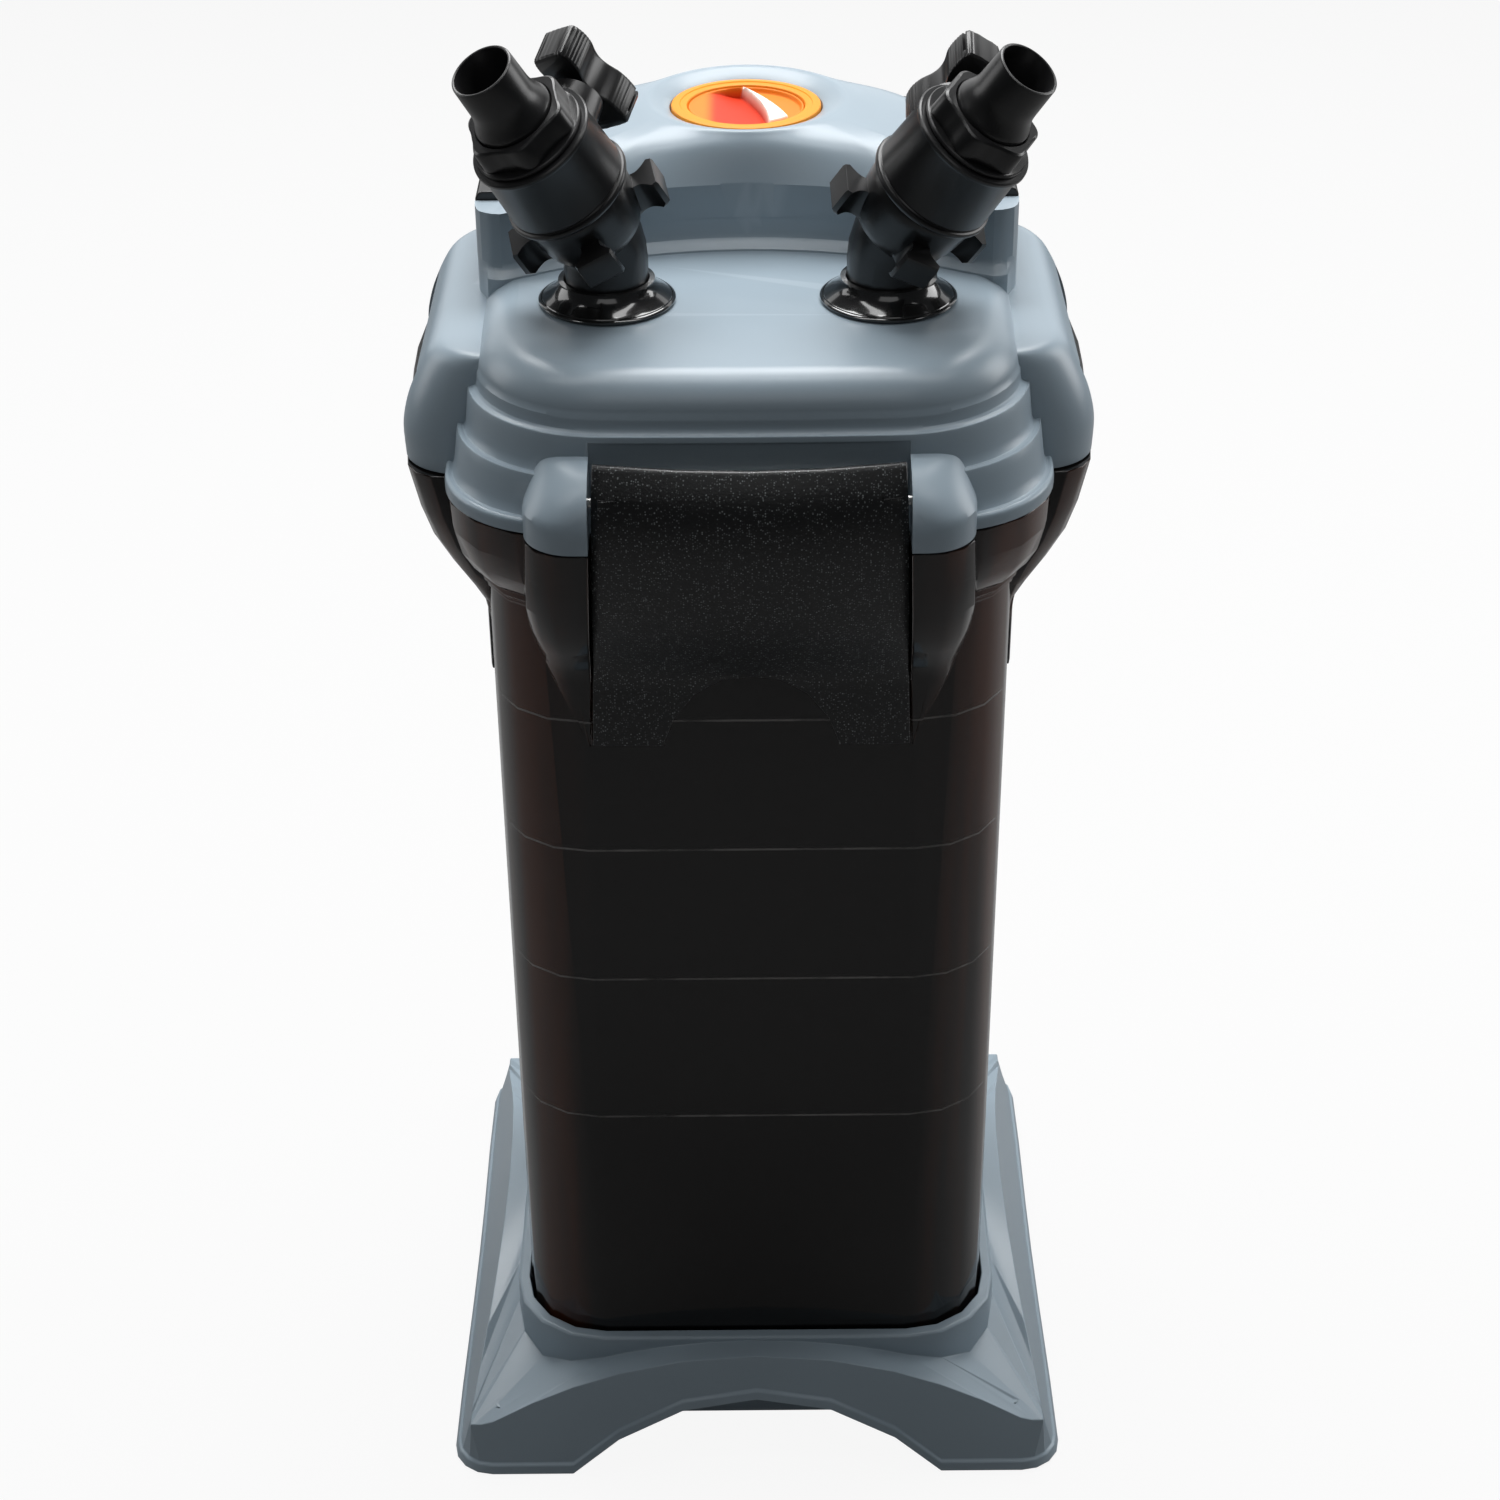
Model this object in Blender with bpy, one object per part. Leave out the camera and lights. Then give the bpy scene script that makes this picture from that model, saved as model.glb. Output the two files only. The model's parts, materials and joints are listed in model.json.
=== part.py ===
"""External canister filter for an aquarium: ribbed motor head with two valved hose taps, four side latches,
smoked canister with stacked media baskets, and an arched base stand. Written in millimetres, built in metres.
Z is up, the taps lean out over the front (-Y), and the origin is the centre of the underside of the feet."""
import math

import bmesh
import bpy
from mathutils import Matrix, Vector

MM = 0.001
FINE = 18
FLAT = 2.0

# stand
STAND_HALF = (110.0, 114.4)
STAND_SLOPE = 0.33
STAND_RIM = 45.5
FRONT_ARCH = 28.0
SIDE_ARCH = 4.5
ROOF_APEX = 43.6
ROOF_RADIUS = 206.0
FOOT_AT = (88.5, 93.5)

# canister
CANISTER_LOW = (82.8, 87.0)
CANISTER_HIGH = (83.2, 88.0)
SEAM = 374.5
BASKET_SEAMS = (22.0, 144.0, 202.4, 254.2, 303.2, 350.3)
BASKET_HALF = (76.8, 81.6)
TUBE_AT = (-57.0, -61.0)

# head
BLOCK_TOP = 441.0
WALL_RADIUS = 128.0
WALL_MIDDLE = 18.0
BOSS_AT = (0.0, 60.0)
BOSS_RIM = 455.9
BOSS_RADIUS = 33.6
PUMP_AT = (0.0, 30.0)

# latches: the pivot's height and its distance out from the middle of the canister
PIVOT_Z = 387.0
PIVOT_OUT = 102.0
SIDE_SHIFT = -4.0
SIDE_LIFT = 5.5
SIDE_MIDDLE = 5.0
LATCH_HALF = 46.5
SIDE_LATCH_HALF = 41.5

# taps
TAP_AT = (44.0, -26.5)
TAP_BEND = 440.0
BALL_AT = 36.0
# each tap's own axis, the way its valve stem points, the way its handle lies, and the clocking of its union nut
TAPS = {
    "left": ((-0.4294, -0.3694, 0.8241), (0.3044, 0.7999, 0.5172), (0.5924, 0.2662, -0.7604), 55.0),
    "right": ((0.5018, -0.3277, 0.8005), (0.0266, 0.9309, 0.3644), (0.5667, -0.3143, 0.7616), 42.0),
}

for old in list(bpy.data.objects):
    bpy.data.objects.remove(old, do_unlink=True)
PARTS = bpy.data.collections.new("canister_filter")
bpy.context.scene.collection.children.link(PARTS)


def material(name, colour, roughness, metallic=0.0, alpha=1.0):
    mat = bpy.data.materials.new(name)
    mat.use_nodes = True
    shader = mat.node_tree.nodes["Principled BSDF"]
    shader.inputs["Base Color"].default_value = (*colour, 1.0)
    shader.inputs["Roughness"].default_value = roughness
    shader.inputs["Metallic"].default_value = metallic
    shader.inputs["Alpha"].default_value = alpha
    return mat


GREY = material("grey_plastic", (0.16, 0.20, 0.24), 0.45)
SMOKE = material("smoked_plastic", (0.03, 0.018, 0.012), 0.12, alpha=0.75)
BLACK = material("black_plastic", (0.012, 0.012, 0.013), 0.38)
GRAIN = material("textured_plastic", (0.014, 0.014, 0.015), 0.55)
ORANGE = material("orange_plastic", (0.85, 0.26, 0.02), 0.35)
RED = material("red_orange_plastic", (0.80, 0.06, 0.01), 0.35)
RUBBER = material("black_rubber", (0.02, 0.02, 0.02), 0.8)
STEEL = material("stainless_steel", (0.62, 0.62, 0.60), 0.25, 1.0)
CERAMIC = material("white_ceramic", (0.8, 0.79, 0.75), 0.3)
SPONGE = material("filter_sponge", (0.03, 0.035, 0.04), 0.95)
MAGNET = material("magnet", (0.05, 0.05, 0.055), 0.4)


def place(bm, name, mat, angle=35.0):
    """Makes the object of a finished bmesh, with round pieces shaded smooth and edges sharper than angle kept."""
    bmesh.ops.remove_doubles(bm, verts=bm.verts, dist=1e-6)
    bmesh.ops.recalc_face_normals(bm, faces=bm.faces)
    mesh = bpy.data.meshes.new(name)
    bm.to_mesh(mesh)
    bm.free()
    obj = bpy.data.objects.new(name, mesh)
    PARTS.objects.link(obj)
    obj.data.materials.append(mat)
    soften(obj, angle)
    return obj


def soften(obj, angle=35.0):
    for polygon in obj.data.polygons:
        polygon.use_smooth = True
    obj.data.set_sharp_from_angle(angle=math.radians(angle))


def bake(obj):
    """Applies the object's modifiers to its mesh."""
    depsgraph = bpy.context.evaluated_depsgraph_get()
    mesh = bpy.data.meshes.new_from_object(obj.evaluated_get(depsgraph))
    obj.modifiers.clear()
    obj.data = mesh
    return obj


def boolean(target, tools, operation):
    """Adds or cuts the tools one by one, exactly, and removes them."""
    for tool in tools:
        step = target.modifiers.new("step", "BOOLEAN")
        step.object = tool
        step.operation = operation
        step.solver = "EXACT"
        bake(target)
        bpy.data.objects.remove(tool, do_unlink=True)
    bm = bmesh.new()
    bm.from_mesh(target.data)
    bmesh.ops.remove_doubles(bm, verts=bm.verts, dist=2e-6)
    bmesh.ops.dissolve_degenerate(bm, edges=bm.edges, dist=2e-6)
    bm.to_mesh(target.data)
    bm.free()
    soften(target)
    return target


def plane_off(obj):
    """Joins the faces of a large moulding that lie in one plane, or as good as."""
    bm = bmesh.new()
    bm.from_mesh(obj.data)
    bmesh.ops.dissolve_limit(bm, angle_limit=math.radians(FLAT), verts=bm.verts, edges=bm.edges)
    bm.to_mesh(obj.data)
    bm.free()
    soften(obj)


def rounded(half, radius, z, centre=(0.0, 0.0), corner=4, side=1, bow=0.0):
    """A level rounded rectangle, anticlockwise from the middle right, each side bowed out by bow."""
    points = []
    turns = ((1, 1), (-1, 1), (-1, -1), (1, -1))
    for quarter, (sx, sy) in enumerate(turns):
        for i in range(corner + 1):
            turn = math.pi / 2 * (quarter + i / corner)
            points.append(Vector((centre[0] + sx * (half[0] - radius) + radius * math.cos(turn),
                                  centre[1] + sy * (half[1] - radius) + radius * math.sin(turn), z)))
        end = points[-1]
        nx, ny = turns[(quarter + 1) % 4]
        turn = math.pi / 2 * (quarter + 1)
        start = Vector((centre[0] + nx * (half[0] - radius) + radius * math.cos(turn),
                        centre[1] + ny * (half[1] - radius) + radius * math.sin(turn), z))
        out = Vector((math.cos(turn), math.sin(turn), 0.0))
        for i in range(1, side):
            f = i / side
            points.append(end.lerp(start, f) + out * bow * 4.0 * f * (1.0 - f))
    return points


def skin(rings, closed=False):
    """Joins a run of rings of equal count with quads, and caps the two ends unless the run is closed."""
    bm = bmesh.new()
    loops = [[bm.verts.new(p * MM) for p in ring] for ring in rings]
    pairs = list(zip(loops, loops[1:]))
    if closed:
        pairs.append((loops[-1], loops[0]))
    for low, high in pairs:
        for i in range(len(low)):
            j = (i + 1) % len(low)
            bm.faces.new((low[i], low[j], high[j], high[i]))
    if not closed:
        bm.faces.new(list(reversed(loops[0])))
        bm.faces.new(loops[-1])
    return bm


def turned(profile, steps=FINE, matrix=None):
    """Spins a closed profile of (radius, height) about Z. A profile that touches the axis closes on it."""
    bm = bmesh.new()
    verts = [bm.verts.new((r * MM, 0.0, z * MM)) for r, z in profile]
    edges = [bm.edges.new((a, b)) for a, b in zip(verts, verts[1:])]
    if profile[0][0] > 0.0 or profile[-1][0] > 0.0:
        edges.append(bm.edges.new((verts[-1], verts[0])))
    bmesh.ops.spin(bm, geom=verts + edges, axis=(0, 0, 1), cent=(0, 0, 0), steps=steps,
                   angle=2 * math.pi, use_merge=True)
    bmesh.ops.remove_doubles(bm, verts=bm.verts, dist=1e-6)
    if matrix is not None:
        bmesh.ops.transform(bm, matrix=matrix, verts=bm.verts)
    return bm


def rod(radius, low, high, steps=16, matrix=None):
    return turned([(0.0, low), (radius, low), (radius, high), (0.0, high)], steps, matrix)


def block(low, high, matrix=None):
    bm = bmesh.new()
    size = [(b - a) * MM for a, b in zip(low, high)]
    middle = [(a + b) / 2 * MM for a, b in zip(low, high)]
    bmesh.ops.create_cube(bm, size=1.0, matrix=Matrix.Translation(middle) @ Matrix.Diagonal((*size, 1.0)))
    if matrix is not None:
        bmesh.ops.transform(bm, matrix=matrix, verts=bm.verts)
    return bm


def tool(bm):
    """A body that is only added to or cut from another."""
    return place(bm, "tool", BLACK)


def hang(name, point):
    """Puts the origin of a finished moving piece on its joint's axis, without moving the piece."""
    obj = bpy.data.objects[name]
    point = Vector(point) * MM
    obj.data.transform(Matrix.Translation(-point))
    obj.location = point


def at(x, y, z=0.0):
    return Matrix.Translation(Vector((x, y, z)) * MM)


def basis(origin, z_axis, x_axis):
    """The frame whose Z runs along z_axis and whose X lies as near x_axis as it can."""
    z = Vector(z_axis).normalized()
    x = Vector(x_axis)
    x = (x - z * x.dot(z)).normalized()
    y = z.cross(x)
    matrix = Matrix((x, y, z)).transposed().to_4x4()
    return Matrix.Translation(Vector(origin) * MM) @ matrix


def curve_at(table, z):
    """Reads a (height, value) table that runs downwards."""
    for (z1, v1), (z0, v0) in zip(table, table[1:]):
        if z0 <= z <= z1:
            return v0 + (v1 - v0) * (z - z0) / (z1 - z0)
    return table[0][1] if z > table[0][0] else table[-1][1]


# ---------------------------------------------------------------- stand
STRAIGHT = (0.0, 0.28, 0.52, 0.695, 0.85, 1.0)
STAND_CORNER = 4


def stand_ring(half, radius):
    """A quarter of a rounded ring, from the middle of the +X side round to the middle of the +Y side."""
    points = [Vector((half[0], f * (half[1] - radius), 0.0)) for f in STRAIGHT]
    for i in range(1, STAND_CORNER):
        turn = math.pi / 2 * i / STAND_CORNER
        points.append(Vector((half[0] - radius + radius * math.cos(turn),
                              half[1] - radius + radius * math.sin(turn), 0.0)))
    return points + [Vector((f * (half[0] - radius), half[1], 0.0)) for f in reversed(STRAIGHT)]


def roof_height(x, y):
    low = min(min(abs(x), abs(y)), 97.5)
    return ROOF_APEX - (ROOF_RADIUS - math.sqrt(ROOF_RADIUS ** 2 - low ** 2))


def skirt_top():
    """The sharp-cornered top edge of the leaning skirts, stepped like stand_ring."""
    middle = STAND_CORNER // 2
    points = []
    for axis in (0, 1):
        run = []
        flat = STAND_HALF[1 - axis] - 14.0
        steps = [f * flat for f in STRAIGHT] + [flat + 7.4 * i / middle for i in range(1, middle + 1)]
        corner = STAND_HALF[1 - axis] - STAND_SLOPE * roof_height(97.5, 97.5)
        for along in steps:
            along = min(along, corner)
            z = roof_height(along, 200.0)
            out = STAND_HALF[axis] - STAND_SLOPE * z
            run.append(Vector((out, along, z)) if axis == 0 else Vector((along, out, z)))
        points.append(run)
    last = points[0][-1]
    points[0][-1] = Vector((STAND_HALF[0] - STAND_SLOPE * last.z, STAND_HALF[1] - STAND_SLOPE * last.z, last.z))
    return points[0] + list(reversed(points[1][:-1]))


def arch_height(index, point):
    """Height of the skirt's lower edge at a station: a tall arch front and back, a low one each side."""
    count = len(STRAIGHT)
    if index < count:
        along, reach, apex = point.y, 0.695 * (STAND_HALF[1] - 14.0), SIDE_ARCH
    elif index >= count + STAND_CORNER - 1:
        along, reach, apex = point.x, 0.695 * (STAND_HALF[0] - 14.0), FRONT_ARCH
    else:
        return 1.0
    if along >= reach - 0.01:
        return 1.0
    radius = (reach ** 2 + apex ** 2) / (2 * apex)
    return max(1.0, math.sqrt(radius ** 2 - along ** 2) - (radius - apex))


def lean(index, point, height, out=0.0):
    """Moves a station of the bottom outline up the leaning skirt, and out from it."""
    count = len(STRAIGHT)
    shift = out - STAND_SLOPE * height
    if index < count:
        return Vector((point.x + shift, point.y, height))
    if index >= count + STAND_CORNER - 1:
        return Vector((point.x, point.y + shift, height))
    turn = math.pi / 2 * (index - count + 1) / STAND_CORNER
    return Vector((point.x + shift * math.cos(turn), point.y + shift * math.sin(turn), height))


def base_stand():
    """Moulded stand: floor under the canister, collar round it, hipped roof, leaning skirts with an arch a side."""
    def level(half, radius, z):
        return [p + Vector((0, 0, z)) for p in stand_ring(half, radius)]

    foot = stand_ring(STAND_HALF, 14.0)
    heights = [arch_height(i, p) for i, p in enumerate(foot)]
    roof_start = [p + Vector((0, 0, roof_height(p.x, p.y) + 0.5)) for p in stand_ring((88.1, 92.4), 33.0)]
    inside = [p + Vector((0, 0, roof_height(p.x, p.y) - 2.4)) for p in stand_ring((86.3, 90.6), 31.5)]
    top = skirt_top()
    middle = len(STRAIGHT) - 1 + STAND_CORNER // 2
    limit = top[middle] - Vector((3.0, 3.0, 0.0))
    under = []
    for i, p in enumerate(top):
        x = p.x - 3.0 if i <= middle else min(p.x, limit.x)
        y = min(p.y, limit.y) if i <= middle else p.y - 3.0
        under.append(Vector((x, y, p.z - 2.6)))
    sections = [
        level((56.0, 60.0), 22.0, 10.0),
        level((83.9, 88.1), 29.6, 10.0),
        level((83.9, 88.1), 29.6, STAND_RIM),
        level((87.1, 91.4), 32.4, STAND_RIM),
        level((87.9, 92.2), 33.0, 44.8),
        roof_start,
        top,
        [lean(i, p, h + 3.8) for i, (p, h) in enumerate(zip(foot, heights))],
        [lean(i, p, h + 3.2, 1.0) for i, (p, h) in enumerate(zip(foot, heights))],
        [lean(i, p, h, 1.0) for i, (p, h) in enumerate(zip(foot, heights))],
        [lean(i, p, h, -2.4) for i, (p, h) in enumerate(zip(foot, heights))],
        under,
        inside,
        level((86.0, 90.3), 31.2, 7.4),
        level((56.0, 60.0), 22.0, 7.4),
    ]
    bm = bmesh.new()
    grid = [[bm.verts.new(p * MM) for p in ring] for ring in sections]
    for a, b in zip(grid, grid[1:] + grid[:1]):
        for i in range(len(a) - 1):
            bm.faces.new((a[i], a[i + 1], b[i + 1], b[i]))
    for axis in (0, 1):
        copy = bmesh.ops.duplicate(bm, geom=bm.verts[:] + bm.edges[:] + bm.faces[:])["geom"]
        scale = Vector((-1, 1, 1)) if axis == 0 else Vector((1, -1, 1))
        bmesh.ops.scale(bm, vec=scale, verts=[v for v in copy if isinstance(v, bmesh.types.BMVert)])
        bmesh.ops.reverse_faces(bm, faces=[f for f in copy if isinstance(f, bmesh.types.BMFace)])
        bmesh.ops.remove_doubles(bm, verts=bm.verts, dist=1e-6)
    stand = place(bm, "base_stand", GREY, 28.0)
    posts = []
    for sx in (-1, 1):
        for sy in (-1, 1):
            posts.append(tool(rod(10.2, 1.0, 21.9, 12, at(sx * FOOT_AT[0], sy * FOOT_AT[1]))))
    boolean(stand, posts, "UNION")
    pockets = []
    for sx in (-1, 1):
        for sy in (-1, 1):
            pockets.append(tool(rod(8.9, -2.0, 3.6, 12, at(sx * FOOT_AT[0], sy * FOOT_AT[1]))))
    plane_off(boolean(stand, pockets, "DIFFERENCE"))


def foot_pads():
    """Four rubber discs pressed into the pockets of the stand."""
    number = 1
    for sy in (-1, 1):
        for sx in (-1, 1):
            profile = [(0.0, 0.0), (7.5, 0.0), (8.5, 1.0), (8.5, 3.2), (0.0, 3.2)]
            place(turned(profile, 12, at(sx * FOOT_AT[0], sy * FOOT_AT[1])), "foot_pad_%d" % number, RUBBER)
            number += 1


# ---------------------------------------------------------------- canister
CHEEK_OUT = ((440.0, 108.9), (382.0, 109.0), (374.5, 108.8), (362.0, 106.8), (354.0, 105.0), (346.0, 102.6),
             (340.0, 99.7), (332.5, 94.8), (326.4, 90.2), (322.0, 87.0), (317.0, 85.2), (305.0, 84.6), (294.0, 84.2))
CHEEK_SIDE = ((440.0, 20.4), (374.5, 20.6), (352.0, 21.0), (342.0, 20.0), (333.0, 17.6), (320.0, 13.0),
              (309.0, 8.2), (302.0, 3.8), (294.0, 0.7))


def four_sides():
    """The four latch stations: name, the map from (along, out, z) to the part's axes, half width, shift outwards."""
    return (
        ("front", lambda a, w, z: Vector((a, -w, z)), LATCH_HALF, 0.0),
        ("rear", lambda a, w, z: Vector((-a, w, z)), LATCH_HALF, 0.0),
        ("right", lambda a, w, z: Vector((w, SIDE_MIDDLE + a, z)), SIDE_LATCH_HALF, SIDE_SHIFT),
        ("left", lambda a, w, z: Vector((-w, SIDE_MIDDLE - a, z)), SIDE_LATCH_HALF, SIDE_SHIFT),
    )


def latch_edge(half, z):
    """Half width of a latch at a height: it widens a little towards its lower end."""
    return half + (399.0 - z) * 0.0365


def cheek(station, hand):
    """One smoked horn beside a latch: rounded outer corner, curling in to the canister wall at its tip."""
    name, spot, half, shift = station
    rings = []
    for z in (SEAM - 0.3, 360.0, 350.0, 340.0, 332.5, 326.4, 318.0, 294.0):
        near = latch_edge(half, z) + 0.5
        read = z if shift == 0.0 else z - SIDE_LIFT * min(1.0, (SEAM - z) / 18.0)
        reach = curve_at(CHEEK_SIDE, read)
        out = curve_at(CHEEK_OUT, read) + 4.0 + shift
        wall = 85.8 + shift * 1.2
        section = [(near, wall), (near, out - 0.4), (near + 0.4, out)]
        for i in range(1, 4):
            turn = math.pi / 2 * i / 4
            a = near + 0.4 + (reach - 0.4) * math.sin(turn) ** 0.8
            w = wall + (out - wall) * (1.0 - (1.0 - math.cos(turn) ** 0.8) * min(1.0, 17.0 / (out - wall)))
            section.append((a, w))
        section.append((near + reach, wall))
        rings.append([spot(hand * a, w, z) for a, w in section])
    return tool(skin(rings))


def canister():
    """Open-topped smoked vessel: near-square tapering body, flared mouth over a double bead, eight latch horns."""
    tables = (
        (10.3, 5.6, 24.0), (12.6, 1.6, 27.6), (18.0, 0.0, 29.3),
    )
    rings = [rounded((CANISTER_LOW[0] - d, CANISTER_LOW[1] - d), r, z, side=2, bow=0.6) for z, d, r in tables]
    rings.append(rounded((83.0, 87.5), 29.7, 190.0, side=2, bow=0.7))
    for z, d, r in ((341.6, 0.0, 30.0), (342.6, 1.4, 31.0), (344.0, 1.4, 31.0), (345.0, 2.6, 32.2), (347.0, 2.6, 32.4),
                    (350.0, 5.6, 34.4), (356.0, 8.8, 36.6), (364.0, 10.7, 37.8), (SEAM - 0.3, 11.3, 38.0)):
        rings.append(rounded((CANISTER_HIGH[0] + d, CANISTER_HIGH[1] + d), r, z, side=2, bow=0.7 - d * 0.06))
    vessel = place(skin(rings), "canister", SMOKE)
    horns = [cheek(station, hand) for station in four_sides() for hand in (-1, 1)]
    boolean(vessel, horns, "UNION")
    inside = []
    for z, half, r in ((13.3, (73.0, 77.8), 21.5), (15.5, (78.0, 82.6), 25.0), (20.0, (79.6, 84.0), 26.6),
                       (343.0, (80.3, 85.1), 27.4), (352.0, (86.0, 90.8), 31.0), (359.5, (91.4, 96.4), 35.3),
                       (380.0, (91.6, 96.6), 35.5)):
        inside.append(rounded(half, r, z, side=2, bow=0.5))
    plane_off(boolean(vessel, [tool(skin(inside))], "DIFFERENCE"))


def media_baskets():
    """Five stacked open trays with slotted floors and a hole for the down tube."""
    for number, (low, high) in enumerate(zip(BASKET_SEAMS, BASKET_SEAMS[1:]), 1):
        low += 0.3
        high -= 0.3
        hx, hy = BASKET_HALF
        rings = [
            rounded((hx - 1.2, hy - 1.2), 23.6, low, corner=2),
            rounded((hx, hy), 24.5, low + 1.2, corner=2),
            rounded((hx, hy), 24.5, high, corner=2),
            rounded((hx - 1.6, hy - 1.6), 23.0, high, corner=2),
            rounded((hx - 1.6, hy - 1.6), 23.0, low + 2.0, corner=2),
        ]
        tray = place(skin(rings), "media_basket_%d" % number, BLACK)
        cuts = [tool(rod(13.0, low - 2, low + 5, 10, at(*TUBE_AT)))]
        for i in range(3):
            y = -34.0 + 34.0 * i
            cuts.append(tool(block((-60.0, y, low - 2), (60.0, y + 12.0, low + 5))))
        boolean(tray, cuts, "DIFFERENCE")


def media_pads():
    """A block of filter medium in each basket, cut round the down tube."""
    for number, (low, high) in enumerate(zip(BASKET_SEAMS, BASKET_SEAMS[1:]), 1):
        half = (BASKET_HALF[0] - 2.6, BASKET_HALF[1] - 2.6)
        pad = place(skin([rounded(half, 22.0, low + 2.8, corner=2), rounded(half, 22.0, high - 3.0, corner=2)]),
                    "media_pad_%d" % number, SPONGE)
        boolean(pad, [tool(rod(13.6, low, high, 10, at(*TUBE_AT)))], "DIFFERENCE")


# ---------------------------------------------------------------- head
def wall_line(x):
    """Front line of the raised block: a shallow hollow that comes forward to the ears."""
    return WALL_MIDDLE - (WALL_RADIUS - math.sqrt(WALL_RADIUS ** 2 - x * x))


BLOCK_FRONT = (0.0, 18.0, 36.0, 54.0, 70.0)
BLOCK_EAR = ((78.0, -6.7), (82.7, -5.3), (85.7, -1.8), (86.8, 5.6))
BLOCK_BACK = ((78.0, 5.6), (78.0, 62.0), (75.5, 76.0), (67.0, 86.5), (52.0, 91.6))


def block_outline(z, foot=0.0):
    """Plan of the raised block, its hollow front wall moved forward by foot."""
    right = [(x, wall_line(x) - foot) for x in BLOCK_FRONT]
    right += [(x, y - (foot if y < -5 else 0.0)) for x, y in BLOCK_EAR] + list(BLOCK_BACK)
    left = [(-x, y) for x, y in reversed(right) if x > 0.0]
    return [Vector((x, y, z)) for x, y in right + [(0.0, 93.2)] + left]


DOME_LINE = ((0.0, 18.0), (12.0, 17.4), (24.0, 15.7), (36.0, 12.8), (47.0, 9.1), (56.0, 6.2), (66.0, 6.0),
             (77.4, 6.2), (77.4, 22.0), (77.4, 40.0), (77.4, 56.0), (75.2, 72.0), (64.0, 86.0), (44.0, 91.4),
             (22.0, 92.6), (0.0, 92.9))


def dome():
    """The motor housing's crown: a ruled slope from the block's top edge up to the round boss of the knob."""
    line = list(DOME_LINE) + [(-x, y) for x, y in reversed(DOME_LINE[1:-1])]
    levels = ((1.0, 430.0, 0.0), (1.0, BLOCK_TOP, 0.0), (0.52, 450.6, 0.4), (0.0, BOSS_RIM - 0.7, 0.0), (-0.06, BOSS_RIM, 0.0))
    rings = []
    for share, z, lift in levels:
        ring = []
        for x, y in line:
            away = Vector((x - BOSS_AT[0], y - BOSS_AT[1], 0.0))
            near = away.normalized() * BOSS_RADIUS
            spot = near.lerp(away, share) if share >= 0.0 else near * (1.0 + share)
            ring.append(Vector((BOSS_AT[0] + spot.x, BOSS_AT[1] + spot.y, z + lift)))
        rings.append(ring)
    return tool(skin(rings))


TIERS = (
    (SEAM + 0.3, 11.3, 38.0), (378.2, 11.2, 38.2), (379.2, 10.4, 38.6), (380.0, 8.7, 39.0),
    (390.6, 7.4, 41.6), (391.6, 6.6, 41.8), (392.4, 4.9, 42.0),
    (402.4, 3.9, 43.4), (403.4, 3.1, 43.2), (404.4, 1.5, 42.4), (408.0, 0.9, 41.6),
)


def tiers():
    """The stepped bowl of the head and its flat deck, whose edge is a large soft round."""
    rings = []
    for z, d, r in TIERS:
        rings.append(rounded((83.2 + d, 88.0 + d), r, z, side=2, bow=0.9 - d * 0.08, corner=4))
    for i in range(1, 5):
        turn = math.pi / 2 * i / 4
        inset = 12.0 * (1.0 - math.cos(turn)) - 0.4
        rings.append(rounded((83.2 - inset, 88.0 - inset), 41.0 - inset, 408.0 + 12.0 * math.sin(turn), side=2,
                             bow=0.9, corner=4))
    return skin(rings)


SIDE_MASS = ((SEAM + 0.3, 108.8), (384.0, 109.2), (391.0, 108.0), (397.6, 105.8), (405.0, 102.3),
             (410.0, 98.8), (412.4, 93.4), (412.8, 80.0))
END_MASS = ((SEAM + 0.3, 112.8), (382.0, 112.9), (388.0, 110.8), (392.4, 107.0), (395.6, 102.0),
            (397.3, 95.0), (397.6, 88.0))


def shoulder_masses():
    """The caps over the latch cheeks: one lump across the head for the side pair, one along it for the ends."""
    side = [rounded((w, 62.0 - (z - SEAM) * 0.10), 19.0, z, (0.0, SIDE_MIDDLE), corner=3) for z, w in SIDE_MASS]
    ends = [rounded((68.0 - max(0.0, z - 384.0) * 0.45, w), 15.5 + max(0.0, z - 384.0) * 0.5, z, corner=3)
            for z, w in END_MASS]
    return [tool(skin(side)), tool(skin(ends))]


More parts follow.
